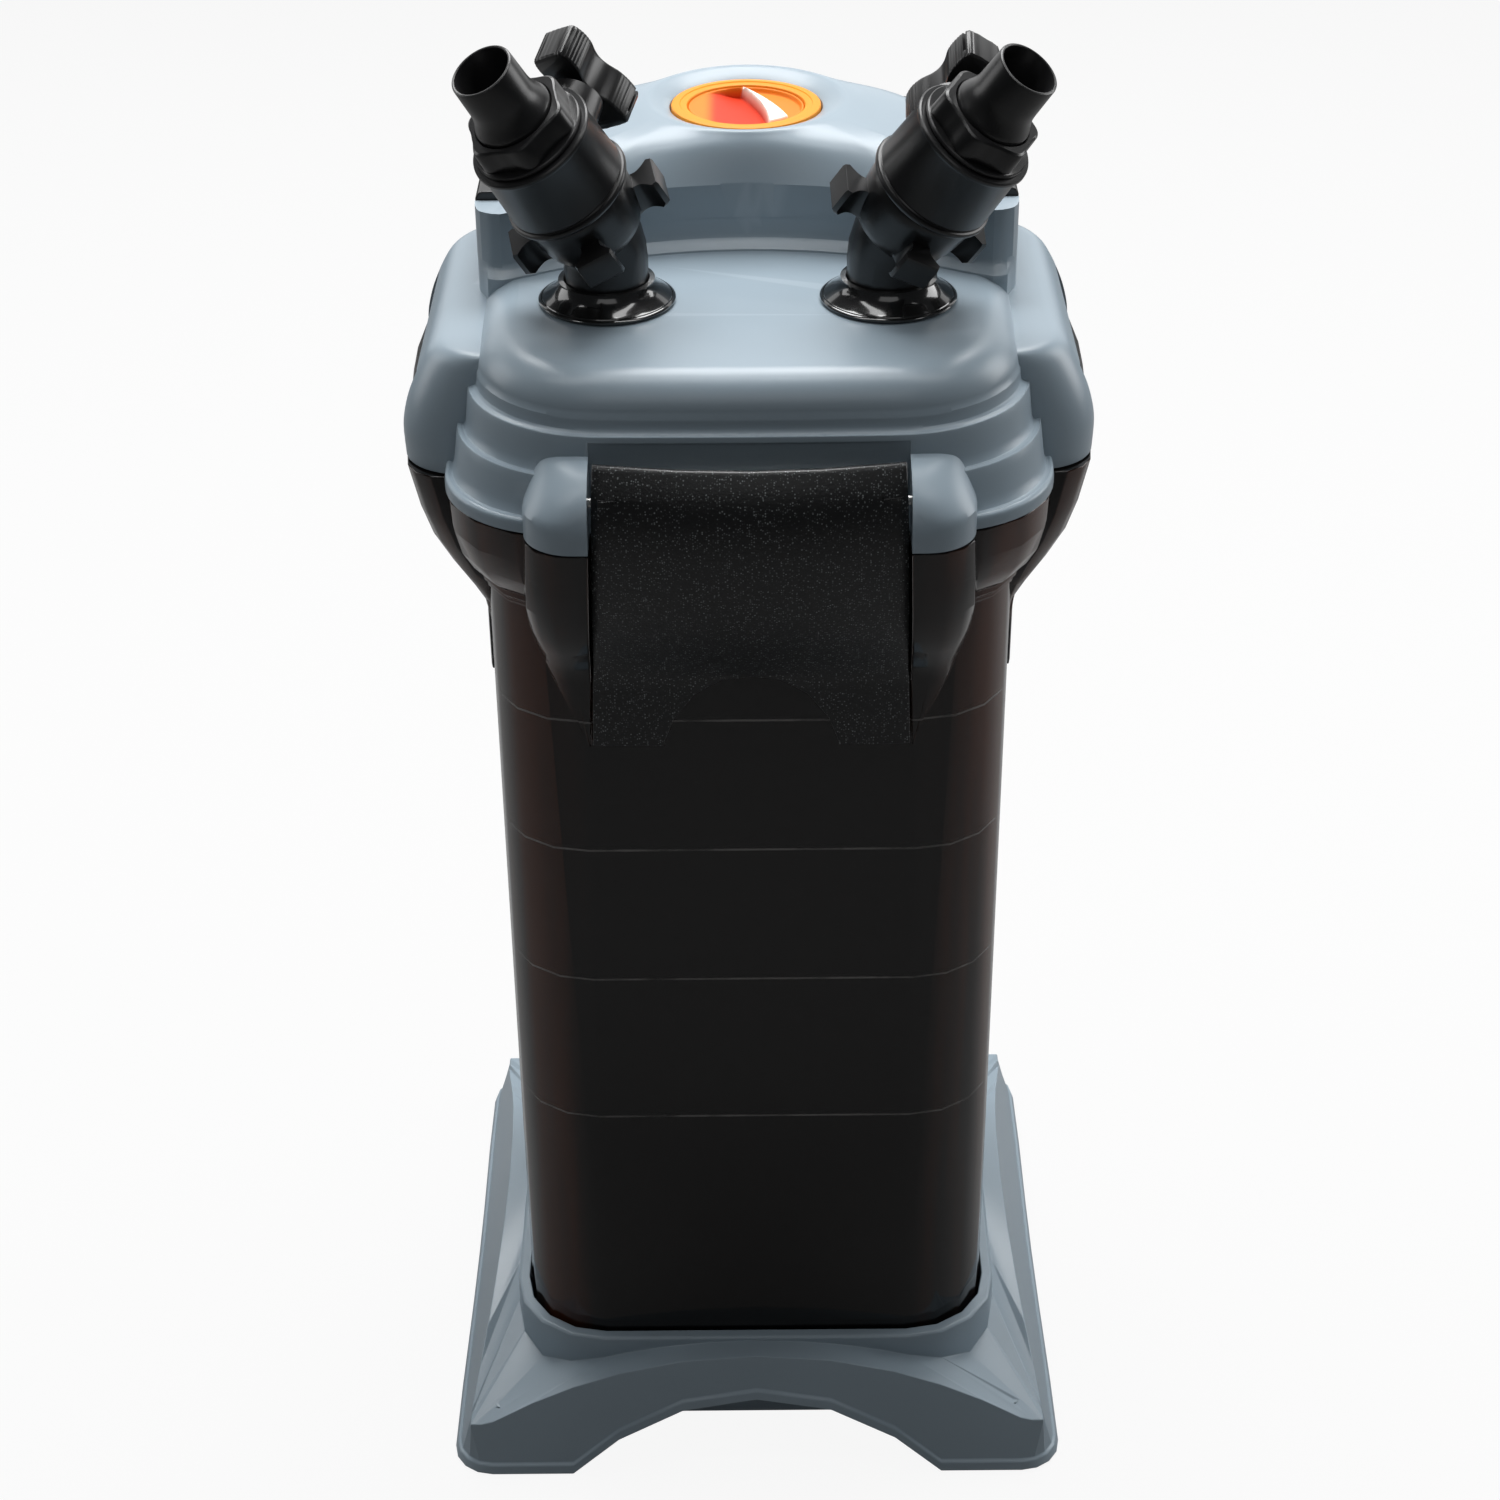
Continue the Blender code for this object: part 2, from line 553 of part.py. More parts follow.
def head_housing():
    """Grey motor head: stepped bowl, latch caps, raised block with ears and domed crown, and the plug below."""
    head = place(tiers(), "head_housing", GREY, 28.0)
    raised = [block_outline(z, foot) for z, foot in ((404.0, 4.6), (420.2, 4.6), (421.6, 1.7), (424.6, 0.0),
                                                     (BLOCK_TOP, 0.0))]
    plug = [rounded(half, r, z) for z, half, r in (
        (359.0, (90.5, 95.5), 34.6), (362.0, (90.7, 95.7), 34.8), (362.0, (88.5, 93.5), 32.6),
        (368.0, (88.5, 93.5), 32.6), (368.0, (90.7, 95.7), 34.8), (378.0, (90.7, 95.7), 34.8))]
    boolean(head, shoulder_masses() + [tool(skin(raised)), dome(), tool(skin(plug))], "UNION")
    cuts = [
        tool(skin([rounded(half, r, z) for z, half, r in (
            (350.0, (84.0, 89.0), 29.0), (398.0, (83.0, 88.0), 34.0), (406.0, (79.0, 84.0), 36.0),
            (416.6, (74.0, 79.0), 34.0))])),
        tool(skin([rounded(half, 18.0, z, (0.0, 57.5)) for z, half in ((410.0, (72.0, 31.0)), (437.0, (70.0, 29.0)))])),
        tool(turned([(0.0, 428.0), (5.2, 428.0), (5.2, 447.6), (25.4, 447.6), (25.4, 452.0), (26.6, 453.6), (28.6, 454.6), (31.0, 455.4),
                     (31.6, 470.0), (0.0, 470.0)], FINE, at(*BOSS_AT))),
        tool(skin([cover_ring(412.9, grow=0.3), cover_ring(450.0, grow=0.3)])),
        tool(rod(13.6, 400.0, 430.0, 24, at(*TAP_AT))),
        tool(rod(13.6, 400.0, 430.0, 24, at(-TAP_AT[0], TAP_AT[1]))),
    ]
    for name, spot, half, shift in four_sides():
        edge = half + 1.5
        deep = 91.3 + shift
        corners = [spot(-edge, deep, 372.0), spot(edge, 125.0, 401.6)]
        low = [min(a, b) for a, b in zip(*corners)]
        high = [max(a, b) for a, b in zip(*corners)]
        cuts.append(tool(block(low, high)))
        axis = spot(1, 0, 0) - spot(0, 0, 0)
        cuts.append(tool(rod(1.8, -half - 7.0, half + 7.0, 10,
                             basis(spot(0, PIVOT_OUT + shift, PIVOT_Z), axis, (0, 0, 1)))))
    plane_off(boolean(head, cuts, "DIFFERENCE"))


COVER_OUT = ((86.7, 5.9), (86.7, 64.0), (83.6, 79.4), (73.4, 91.8), (56.0, 96.8), (30.0, 98.2), (0.0, 98.4))
COVER_IN = ((78.5, 5.9), (78.5, 62.0), (76.0, 76.4), (67.4, 87.1), (52.2, 92.1), (30.0, 93.3), (0.0, 93.7))


def cover_ring(z, inset=0.0, grow=0.0):
    """Plan of the shroud: its outer line drawn in by inset at the crown, or grown all round for its seat."""
    right, inner = [], []
    for o, n in zip(COVER_OUT, COVER_IN):
        o, n = Vector(o), Vector(n)
        across = (n - o).normalized()
        front = Vector((0.0, -grow * 1.3)) if o.y < 6.0 else Vector((0.0, 0.0))
        right.append(o + across * (inset - grow) + front)
        inner.append(n + across * grow + front)
    left = [Vector((-p.x, p.y)) for p in reversed(right[:-1])]
    back_left = [Vector((-p.x, p.y)) for p in inner[:-1]]
    return [Vector((p.x, p.y, z)) for p in right + left + back_left + list(reversed(inner))]


def rear_cover():
    """Black shroud that wraps the sides and back of the raised block and holds the cable inlet."""
    rings = [cover_ring(z, inset) for z, inset in ((413.2, 0.0), (441.4, 0.0), (443.2, 0.9), (443.8, 2.2))]
    cover = place(skin(rings), "rear_cover", BLACK)
    hole = rod(6.2, -12.0, 12.0, 16, basis((30.0, 96.0, 427.0), (0, 1, 0), (1, 0, 0)))
    return boolean(cover, [tool(hole)], "DIFFERENCE")


def cord_gland():
    """Rubber inlet bush for the mains cable, with the cable's own bore left open."""
    profile = [(3.2, 94.2), (5.8, 94.2), (5.8, 98.9), (7.6, 98.9), (7.6, 100.6), (6.2, 101.4), (4.6, 107.0), (3.2, 107.0)]
    spot = basis((30.0, 0.0, 427.0), (0, 1, 0), (1, 0, 0))
    place(turned(profile, 16, spot), "cord_gland", RUBBER)


def primer():
    """Orange bezel set in the crown and the red-orange dial that turns in it."""
    bezel = [(19.6, 448.0), (25.0, 448.0), (25.0, 453.3), (24.4, 453.9), (20.4, 453.9), (19.6, 453.1)]
    place(turned(bezel, 24, at(*BOSS_AT)), "primer_bezel", ORANGE)
    dial = [(0.0, 436.0), (4.8, 436.0), (4.8, 448.0), (19.3, 448.0), (19.3, 452.2), (18.2, 452.6), (16.6, 451.2),
            (15.4, 450.6), (0.0, 450.6)]
    knob = place(turned(dial, 24, at(*BOSS_AT)), "primer_knob", RED)
    grip = []
    for z, wide, long in ((449.0, 7.2, 17.0), (452.6, 6.6, 16.6), (453.8, 5.4, 15.6)):
        ring = []
        for i in range(16):
            turn = 2 * math.pi * i / 16
            x = long * math.cos(turn)
            y = wide * math.sin(turn) + 2.6 * math.sin(math.pi * x / 26.0)
            ring.append(Vector((x, y, z)))
        grip.append(ring)
    bm = skin(grip)
    bmesh.ops.rotate(bm, cent=(0, 0, 0), matrix=Matrix.Rotation(math.radians(115.0), 3, "Z"), verts=bm.verts)
    bmesh.ops.transform(bm, matrix=at(*BOSS_AT), verts=bm.verts)
    boolean(knob, [tool(bm)], "UNION")


def lid_seal():
    """Rubber ring in the plug's groove."""
    rings = [rounded(half, r, z) for z, half, r in (
        (362.4, (88.8, 93.8), 32.9), (362.4, (90.6, 95.6), 34.7), (365.0, (91.15, 96.15), 35.1),
        (367.6, (90.6, 95.6), 34.7), (367.6, (88.8, 93.8), 32.9))]
    place(skin(rings, closed=True), "lid_seal", RUBBER)


def pump_parts():
    """Pump plate under the head, motor, impeller, shaft and intake cover."""
    plate = place(skin([rounded((86.4, 91.2), 31.0, z) for z in (355.4, 358.6)]), "pump_plate", BLACK)
    ring = turned([(19.0, 358.0), (21.6, 358.0), (21.6, 365.4), (19.0, 365.4)], 16, at(*PUMP_AT))
    boolean(plate, [tool(ring)], "UNION")
    boolean(plate, [tool(rod(9.0, 350.0, 360.0, 16, at(*PUMP_AT))), tool(rod(10.9, 350.0, 362.0, 16, at(*TUBE_AT)))],
            "DIFFERENCE")
    motor = place(turned([(0.0, 407.5), (1.57, 407.5), (1.57, 403.4), (11.4, 403.4), (11.4, 366.2), (36.0, 366.2),
                          (36.0, 371.0), (31.0, 372.5), (31.0, 406.0), (28.0, 409.0), (0.0, 409.0)], 16, at(*PUMP_AT)),
                  "motor_block", BLACK)
    place(turned([(1.56, 359.2), (4.0, 359.2), (4.0, 363.4), (16.6, 363.4), (16.6, 365.0), (6.0, 365.0), (6.0, 367.0),
                  (10.7, 367.0), (10.7, 401.5), (1.56, 401.5)], 12, at(*PUMP_AT)), "impeller", MAGNET)
    blades = []
    for i in range(4):
        turn = Matrix.Rotation(math.radians(90.0 * i + 15.0), 4, "Z")
        blades.append(tool(block((3.6, -0.8, 359.2), (16.2, 0.8, 363.9), at(*PUMP_AT) @ turn)))
    boolean(bpy.data.objects["impeller"], blades, "UNION")
    place(rod(1.5, 359.8, 407.0, 16, at(*PUMP_AT)), "impeller_shaft", CERAMIC)
    place(turned([(8.6, 351.6), (24.0, 351.6), (24.0, 355.0), (8.6, 355.0)], FINE, at(*PUMP_AT)), "intake_cover", BLACK)
    return motor


def ducts():
    """The down tube through the baskets and the two ducts between the taps and the pump plate."""
    place(turned([(10.6, 18.0), (12.2, 18.0), (12.2, 355.0), (10.6, 355.0)], 16, at(*TUBE_AT)), "down_tube", BLACK)
    runs = {
        "inlet_duct": ((-44.0, -26.5, 401.6), (-44.0, -26.5, 392.0), (-57.0, -61.0, 371.0), (-57.0, -61.0, 359.0)),
        "outlet_duct": ((44.0, -26.5, 401.6), (44.0, -26.5, 389.0), (52.0, 6.0, 379.0), (52.0, 8.0, 359.0)),
    }
    for name, (a, b, c, d) in runs.items():
        points = [Vector(p) for p in (a, b, c, d)]
        spine = []
        for i in range(6):
            t = i / 5
            weights = ((1 - t) ** 3, 3 * t * (1 - t) ** 2, 3 * t * t * (1 - t), t ** 3)
            spine.append(sum((p * w for p, w in zip(points, weights)), Vector()))
        place(pipe(spine, 12.4, 10.6, 12), name, BLACK)


def pipe(spine, outer, inner, steps=FINE):
    """A bent tube: round sections square to the spine, outside up and inside back down."""
    rings = []
    for radius, order in ((outer, range(len(spine))), (inner, reversed(range(len(spine))))):
        for i in order:
            before = spine[max(i - 1, 0)]
            after = spine[min(i + 1, len(spine) - 1)]
            if i == 0 or i == len(spine) - 1:
                along = Vector((0, 0, after.z - before.z)) if outer < 13.0 else after - before
            else:
                along = (spine[i] - before).normalized() + (after - spine[i]).normalized()
            frame = basis((0, 0, 0), along, (0, 1, 0)).to_3x3()
            rings.append([spine[i] + frame @ Vector((radius * math.cos(2 * math.pi * k / steps),
                                                     radius * math.sin(2 * math.pi * k / steps), 0.0))
                          for k in range(steps)])
    return skin(rings, closed=True)


# ---------------------------------------------------------------- latches
LATCH_FACE = ((399.0, 106.8), (397.6, 108.8), (391.0, 112.2), (383.0, 114.1), (373.0, 113.9),
              (360.0, 111.8), (349.0, 108.4), (339.0, 103.4), (330.0, 97.4), (322.0, 92.6), (316.5, 91.3),
              (295.4, 91.1))
LATCH_BACK = ((295.4, 89.0), (316.0, 89.0), (332.0, 95.7), (341.0, 101.8), (350.5, 106.2), (361.0, 109.2),
              (373.5, 111.1), (389.5, 109.8), (395.2, 106.8), (398.4, 104.4))
ARCH = ((-27.5, 280.0), (-27.5, 297.0), (-24.4, 305.4), (-17.8, 314.2), (-9.2, 319.8), (0.0, 321.4),
        (9.2, 319.8), (17.8, 314.2), (24.4, 305.4), (27.5, 297.0), (27.5, 280.0))


def latch(station):
    """A bowed clip: hangs from a pin in the head, follows the cheeks down and ends in two legs beside a finger arch."""
    name, spot, half, shift = station
    rings = []
    for f in (-1.0, -0.93, -0.45, 0.0, 0.45, 0.93, 1.0):
        ring = []
        for z, w in LATCH_FACE + LATCH_BACK:
            bow = 5.4 * min(1.0, max(0.08, (z - 314.0) / 30.0))
            edge = 0.5 if abs(f) == 1.0 and (z, w) in LATCH_FACE else 0.0
            hug = 0.6 if shift and z < 323.0 else 0.0
            ring.append(spot(f * latch_edge(half, z), w - bow * f * f - edge + shift - hug, z))
        rings.append(ring)
    clip = place(skin(rings), "latch_" + name, GRAIN)
    out = PIVOT_OUT + shift
    axis = spot(1, 0, 0) - spot(0, 0, 0)
    adds = []
    for hand in (-1, 1):
        ends = sorted((hand * (half - 7.0), hand * (half - 1.6)))
        corners = [spot(ends[0], out - 3.4, 383.4), spot(ends[1], out + 6.4, 390.4)]
        low = [min(a, b) for a, b in zip(*corners)]
        high = [max(a, b) for a, b in zip(*corners)]
        adds.append(tool(block(low, high)))
    boolean(clip, adds, "UNION")
    arch = skin([[spot(a, w, z) for a, z in ARCH] for w in (70.0, 125.0)])
    bore = rod(1.57, -half - 4.0, half + 4.0, 12, basis(spot(0, out, PIVOT_Z), axis, (0, 0, 1)))
    boolean(clip, [tool(arch), tool(bore)], "DIFFERENCE")
    place(rod(1.5, -half - 6.4, half + 6.4, 12, basis(spot(0, out, PIVOT_Z), axis, (0, 0, 1))),
          "latch_pin_" + name, STEEL)
    hang("latch_" + name, spot(0, out, PIVOT_Z))


# ---------------------------------------------------------------- taps
def tap(side):
    """One hose tap: deck flange, bent riser, union nut with claw lugs, ball valve, lobed nut and hose tail."""
    hand = -1.0 if side == "left" else 1.0
    base = (hand * TAP_AT[0], TAP_AT[1])
    axis, stem_way, bar_way = (Vector(v).normalized() for v in TAPS[side][:3])
    bend = Vector((*base, TAP_BEND))
    line = basis(bend, axis, (0, 0, 1)) @ Matrix.Rotation(math.radians(TAPS[side][3]), 4, "Z")
    name = side + "_"

    flange = [(13.5, 420.4), (21.4, 420.4), (21.5, 421.4), (20.4, 422.3), (16.0, 425.4), (15.2, 427.6), (13.5, 427.6)]
    place(turned(flange, FINE, at(*base)), name + "flange", BLACK)

    start, end = Vector((*base, 433.5)), bend + axis * 6.5
    spine = [Vector((*base, 402.2)), start]
    for turn in (0.33, 0.67):
        spine.append(start * (1 - turn) ** 2 + bend * 2 * turn * (1 - turn) + end * turn ** 2)
    spine += [end, bend + axis * 22.9]
    place(pipe(spine, 13.15, 9.5, 16), name + "riser", BLACK)

    nut = place(turned([(13.6, 4.6), (14.8, 4.6), (16.2, 7.4), (17.6, 14.0), (18.2, 21.6), (17.4, 22.9), (13.6, 22.9)],
                       FINE, line), name + "union_nut", BLACK)
    lugs = []
    for i in range(4):
        turn = line @ Matrix.Rotation(math.radians(90.0 * i), 4, "Z")
        plan = ((15.0, -4.6), (18.4, -3.1), (21.2, -3.6), (24.0, -6.2), (25.4, -5.6), (25.4, 5.6), (24.0, 6.2),
                (21.2, 3.6), (18.4, 3.1), (15.0, 4.6))
        rings = [[Vector((r * k, t * k, s)) for r, t in plan] for s, k in ((5.6, 0.95), (6.8, 1.0), (15.6, 1.0))]
        bm = skin(rings)
        bmesh.ops.transform(bm, matrix=turn, verts=bm.verts)
        lugs.append(tool(bm))
    boolean(nut, lugs, "UNION")

    body = [(8.5, 23.4), (19.4, 23.4), (20.2, 24.2), (20.2, 25.4), (19.3, 26.2), (18.5, 45.6), (19.5, 46.4),
            (19.3, 48.0), (8.5, 48.0)]
    hollow = []
    for i in range(5):
        turn = math.radians(50.3 - 100.6 * i / 4)
        hollow.append((13.3 * math.cos(turn), BALL_AT + 13.3 * math.sin(turn)))
    valve = place(turned(body + hollow, FINE, line), name + "valve_body", BLACK)
    ball = bend + axis * BALL_AT
    stem = basis(ball, stem_way, bar_way)
    collar = [(0.0, 15.0), (9.2, 15.0), (8.6, 25.6), (0.0, 25.6)]
    boolean(valve, [tool(turned(collar, 12, stem))], "UNION")
    boolean(valve, [tool(rod(5.5, 6.0, 30.0, 12, stem))], "DIFFERENCE")

    core = place(globe(12.5, ball), name + "valve_ball", BLACK)
    boolean(core, [tool(rod(5.0, 8.0, 27.4, 12, stem))], "UNION")
    boolean(core, [tool(rod(8.0, -20.0, 20.0, 12, basis(ball, bar_way, stem_way)))], "DIFFERENCE")

    place(lobed_nut(line), name + "cap_nut", BLACK)
    tail = [(8.8, 48.6), (13.9, 48.6), (13.9, 51.8), (12.5, 51.8), (12.5, 58.8), (10.4, 63.6), (9.9, 76.6), (8.8, 76.6)]
    place(turned(tail, FINE, line), name + "hose_tail", BLACK)
    handle(side, stem)
    for part, height in (("union_nut", 12.0), ("valve_ball", BALL_AT), ("valve_handle", BALL_AT), ("cap_nut", 53.0)):
        hang(name + part, bend + axis * height)


def globe(radius, centre):
    bm = bmesh.new()
    bmesh.ops.create_uvsphere(bm, u_segments=14, v_segments=8, radius=radius * MM, matrix=Matrix.Translation(centre * MM))
    return bm


def lobed_nut(line):
    """Six-lobed nut over a thin washer, stepped inside for the hose tail's flange."""
    rings = []
    for s, mean, wave in ((48.3, 14.2, 0.0), (48.3, 17.6, 0.0), (49.8, 17.6, 0.0), (50.2, 16.0, 0.9), (56.2, 15.8, 0.9),
                          (57.6, 15.2, 0.7), (57.6, 12.8, 0.0), (52.2, 12.8, 0.0), (52.2, 14.2, 0.0)):
        ring = []
        for i in range(24):
            turn = 2 * math.pi * i / 24
            radius = mean + wave * math.cos(6 * turn)
            ring.append(Vector((radius * math.cos(turn), radius * math.sin(turn), s)))
        rings.append(ring)
    bm = skin(rings, closed=True)
    bmesh.ops.transform(bm, matrix=line, verts=bm.verts)
    return bm


WING = ((-15.8, 4.8), (-15.0, 6.0), (-11.6, 7.0), (-7.6, 6.6), (-3.4, 4.9), (0.0, 4.3), (3.4, 4.9), (7.6, 6.6),
        (12.0, 7.0), (16.0, 6.2), (17.4, 5.4))


def handle(side, stem):
    """Wing handle: two swelling lobes about a waist, with a slot that leaves a thin tab at one end."""
    plan = [(x, y) for x, y in WING] + [(x, -y) for x, y in reversed(WING)]
    rings = [[Vector((x * k, y * k, h)) for x, y in plan] for h, k in ((28.0, 0.95), (29.0, 1.0), (38.8, 1.0), (40.2, 0.93))]
    bm = skin(rings)
    bmesh.ops.transform(bm, matrix=stem, verts=bm.verts)
    wing = place(bm, side + "_valve_handle", BLACK)
    boolean(wing, [tool(block((14.6, -9.0, 31.0), (15.8, 9.0, 50.0), stem))], "DIFFERENCE")


base_stand()
foot_pads()
canister()
media_baskets()
media_pads()
head_housing()
rear_cover()
cord_gland()
primer()
lid_seal()
pump_parts()
ducts()
for station in four_sides():
    latch(station)
for which in ("left", "right"):
    tap(which)
hang("primer_knob", (*BOSS_AT, 450.0))
hang("impeller", (*PUMP_AT, 380.0))
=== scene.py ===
"""Finishes, light and camera for the external canister filter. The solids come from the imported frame."""
import json
import math

import bmesh
import bpy
from mathutils import Matrix, Vector


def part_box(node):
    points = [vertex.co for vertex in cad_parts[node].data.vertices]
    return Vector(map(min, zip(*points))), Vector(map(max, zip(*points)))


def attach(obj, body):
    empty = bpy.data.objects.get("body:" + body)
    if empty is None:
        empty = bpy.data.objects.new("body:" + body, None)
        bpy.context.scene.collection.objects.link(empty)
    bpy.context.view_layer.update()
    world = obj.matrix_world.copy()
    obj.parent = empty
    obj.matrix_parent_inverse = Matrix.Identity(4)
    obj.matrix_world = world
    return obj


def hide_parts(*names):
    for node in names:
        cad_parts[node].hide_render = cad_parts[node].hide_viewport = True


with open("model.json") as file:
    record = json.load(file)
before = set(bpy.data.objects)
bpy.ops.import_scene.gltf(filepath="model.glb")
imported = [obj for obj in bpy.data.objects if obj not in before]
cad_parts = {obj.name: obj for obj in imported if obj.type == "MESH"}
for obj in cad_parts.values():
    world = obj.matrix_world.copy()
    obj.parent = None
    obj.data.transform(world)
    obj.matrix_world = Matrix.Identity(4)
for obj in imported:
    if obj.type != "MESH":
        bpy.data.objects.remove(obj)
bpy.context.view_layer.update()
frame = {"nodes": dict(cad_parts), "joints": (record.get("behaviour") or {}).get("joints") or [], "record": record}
nodes = frame["nodes"]
bpy.context.scene.view_settings.view_transform = "Standard"


# ---- Base stand: one thick injection-moulded tray in blue-grey ABS, with a collar that the canister drops
# into and four leaning skirts arched between its feet. The mould is lightly spark-etched, so the skin is
# satin, and its sharp edges are painted a little lighter, as a painted highlight.
def moulded_skin():
    """Skin of an etched injection moulding: fine pits, slow colour drift of the batch, painted highlight on edges.
    """
    group = bpy.data.node_groups.new("moulded_skin", "ShaderNodeTree")
    face = group.interface
    face.new_socket("Colour", in_out="INPUT", socket_type="NodeSocketColor")
    face.new_socket("Edge highlight colour", in_out="INPUT", socket_type="NodeSocketColor")
    for name, value in (("Pit scale", 2200.0), ("Gloss", 0.4), ("Drift", 0.06), ("Edge highlight", 0.3)):
        face.new_socket(name, in_out="INPUT", socket_type="NodeSocketFloat").default_value = value
    face.new_socket("Colour", in_out="OUTPUT", socket_type="NodeSocketColor")
    face.new_socket("Roughness", in_out="OUTPUT", socket_type="NodeSocketFloat")
    face.new_socket("Height", in_out="OUTPUT", socket_type="NodeSocketFloat")
    new, link = group.nodes.new, group.links.new
    given, out = new("NodeGroupInput"), new("NodeGroupOutput")
    place = new("ShaderNodeTexCoord")
    pits = new("ShaderNodeTexNoise")
    pits.inputs["Detail"].default_value = 2.0
    link(place.outputs["Object"], pits.inputs["Vector"])
    link(given.outputs["Pit scale"], pits.inputs["Scale"])
    slow = new("ShaderNodeTexNoise")
    slow.inputs["Scale"].default_value = 14.0
    slow.inputs["Detail"].default_value = 3.0
    link(place.outputs["Object"], slow.inputs["Vector"])
    # slow drift of colour
    swing = new("ShaderNodeMapRange")
    swing.inputs["From Min"].default_value = 0.3
    swing.inputs["From Max"].default_value = 0.7
    swing.inputs["To Min"].default_value = -1.0
    link(slow.outputs["Fac"], swing.inputs["Value"])
    amount = new("ShaderNodeMath")
    amount.operation = "MULTIPLY"
    link(swing.outputs["Result"], amount.inputs[0])
    link(given.outputs["Drift"], amount.inputs[1])
    shade = new("ShaderNodeHueSaturation")
    lift = new("ShaderNodeMath")
    lift.operation = "ADD"
    lift.inputs[1].default_value = 1.0
    link(amount.outputs[0], lift.inputs[0])
    link(lift.outputs[0], shade.inputs["Value"])
    link(given.outputs["Colour"], shade.inputs["Color"])
    # painted highlight: the sharp edges are painted lighter
    geometry = new("ShaderNodeNewGeometry")
    edge = new("ShaderNodeMapRange")
    edge.inputs["From Min"].default_value = 0.53
    edge.inputs["From Max"].default_value = 0.62
    link(geometry.outputs["Pointiness"], edge.inputs["Value"])
    painted_edge_highlight = new("ShaderNodeMath")
    painted_edge_highlight.operation = "MULTIPLY"
    link(edge.outputs["Result"], painted_edge_highlight.inputs[0])
    link(given.outputs["Edge highlight"], painted_edge_highlight.inputs[1])
    mix = new("ShaderNodeMix")
    mix.data_type = "RGBA"
    link(painted_edge_highlight.outputs[0], mix.inputs["Factor"])
    link(shade.outputs["Color"], mix.inputs["A"])
    link(given.outputs["Edge highlight colour"], mix.inputs["B"])
    link(mix.outputs["Result"], out.inputs["Colour"])
    rough = new("ShaderNodeMath")
    rough.operation = "MULTIPLY_ADD"
    rough.inputs[1].default_value = 0.12
    link(slow.outputs["Fac"], rough.inputs[0])
    link(given.outputs["Gloss"], rough.inputs[2])
    link(rough.outputs[0], out.inputs["Roughness"])
    link(pits.outputs["Fac"], out.inputs["Height"])
    return group


SKIN = moulded_skin()


def plastic(name, colour, edge_highlight_colour, gloss, pits=2200.0, depth=0.00002, drift=0.06, edge_highlight=0.3, strength=0.25,
            **fixed):
    """A moulded plastic, its sharp edges painted lighter as a highlight. fixed holds values for the shader's own
    sockets.
    """
    mat = bpy.data.materials.new(name)
    mat.use_nodes = True
    tree = mat.node_tree
    shader = tree.nodes["Principled BSDF"]
    skin = tree.nodes.new("ShaderNodeGroup")
    skin.node_tree = SKIN
    skin.inputs["Colour"].default_value = (*colour, 1.0)
    skin.inputs["Edge highlight colour"].default_value = (*edge_highlight_colour, 1.0)
    skin.inputs["Pit scale"].default_value = pits
    skin.inputs["Gloss"].default_value = gloss
    skin.inputs["Drift"].default_value = drift
    skin.inputs["Edge highlight"].default_value = edge_highlight
    bump = tree.nodes.new("ShaderNodeBump")
    bump.inputs["Strength"].default_value = strength
    bump.inputs["Distance"].default_value = depth
    tree.links.new(skin.outputs["Colour"], shader.inputs["Base Color"])
    tree.links.new(skin.outputs["Roughness"], shader.inputs["Roughness"])
    tree.links.new(skin.outputs["Height"], bump.inputs["Height"])
    tree.links.new(bump.outputs["Normal"], shader.inputs["Normal"])
    for socket, value in fixed.items():
        shader.inputs[socket.replace("_", " ")].default_value = value
    return mat


BODIES = {name: body for body, names in frame["record"]["behaviour"]["bodies"].items() for name in names}


def dress(mat, *names):
    """A better finish on pieces whose shape stays as it is."""
    for name in names:
        nodes[name].data.materials.clear()
        nodes[name].data.materials.append(mat)


def show(obj, mat, *names):
    """A finished piece takes the place of the solids it stands for, and rides with them."""
    obj.data.materials.clear()
    obj.data.materials.append(mat)
    if obj.name not in bpy.context.scene.collection.objects:
        bpy.context.scene.collection.objects.link(obj)
    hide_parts(*names)
    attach(obj, BODIES[names[0]])
    return obj


def smoothed(mesh, angle):
    """Smooth shading, up to the edges that turn by more than this."""
    for polygon in mesh.polygons:
        polygon.use_smooth = True
    mesh.set_sharp_from_angle(angle=math.radians(angle))


def rounded_off(obj, width, segments=3, angle=32.0, clamp=True):
    """Small round on every sharp edge."""
    bevel = obj.modifiers.new("round", "BEVEL")
    bevel.limit_method = "ANGLE"
    bevel.angle_limit = math.radians(angle)
    bevel.width = width
    bevel.segments = segments
    bevel.use_clamp_overlap = clamp
    bevel.harden_normals = True


# a solid's points are merged within WELD metres, and its faces within LEVEL degrees of each other
WELD = 0.000003
LEVEL = 0.4


def mould(mat, name, angle=30.0, edge=0.00035):
    """The solid's own skin, merged and smooth, with its corners broken as a tool leaves them."""
    bm = bmesh.new()
    bm.from_mesh(nodes[name].data)
    bmesh.ops.remove_doubles(bm, verts=bm.verts, dist=WELD)
    bmesh.ops.dissolve_limit(bm, angle_limit=math.radians(LEVEL), verts=bm.verts, edges=bm.edges)
    mesh = bpy.data.meshes.new(name + "_skin")
    bm.to_mesh(mesh)
    bm.free()
    smoothed(mesh, angle)
    obj = bpy.data.objects.new(name + "_skin", mesh)
    show(obj, mat, name)
    if edge:
        rounded_off(obj, edge, 2, angle, clamp=False)
    even = obj.modifiers.new("even_shading", "WEIGHTED_NORMAL")
    even.weight = 100
    even.keep_sharp = True
    return obj


GREY = plastic("grey_abs", (0.285, 0.355, 0.410), (0.42, 0.49, 0.54), 0.26, drift=0.04, edge_highlight=0.35)
mould(GREY, "base_stand")

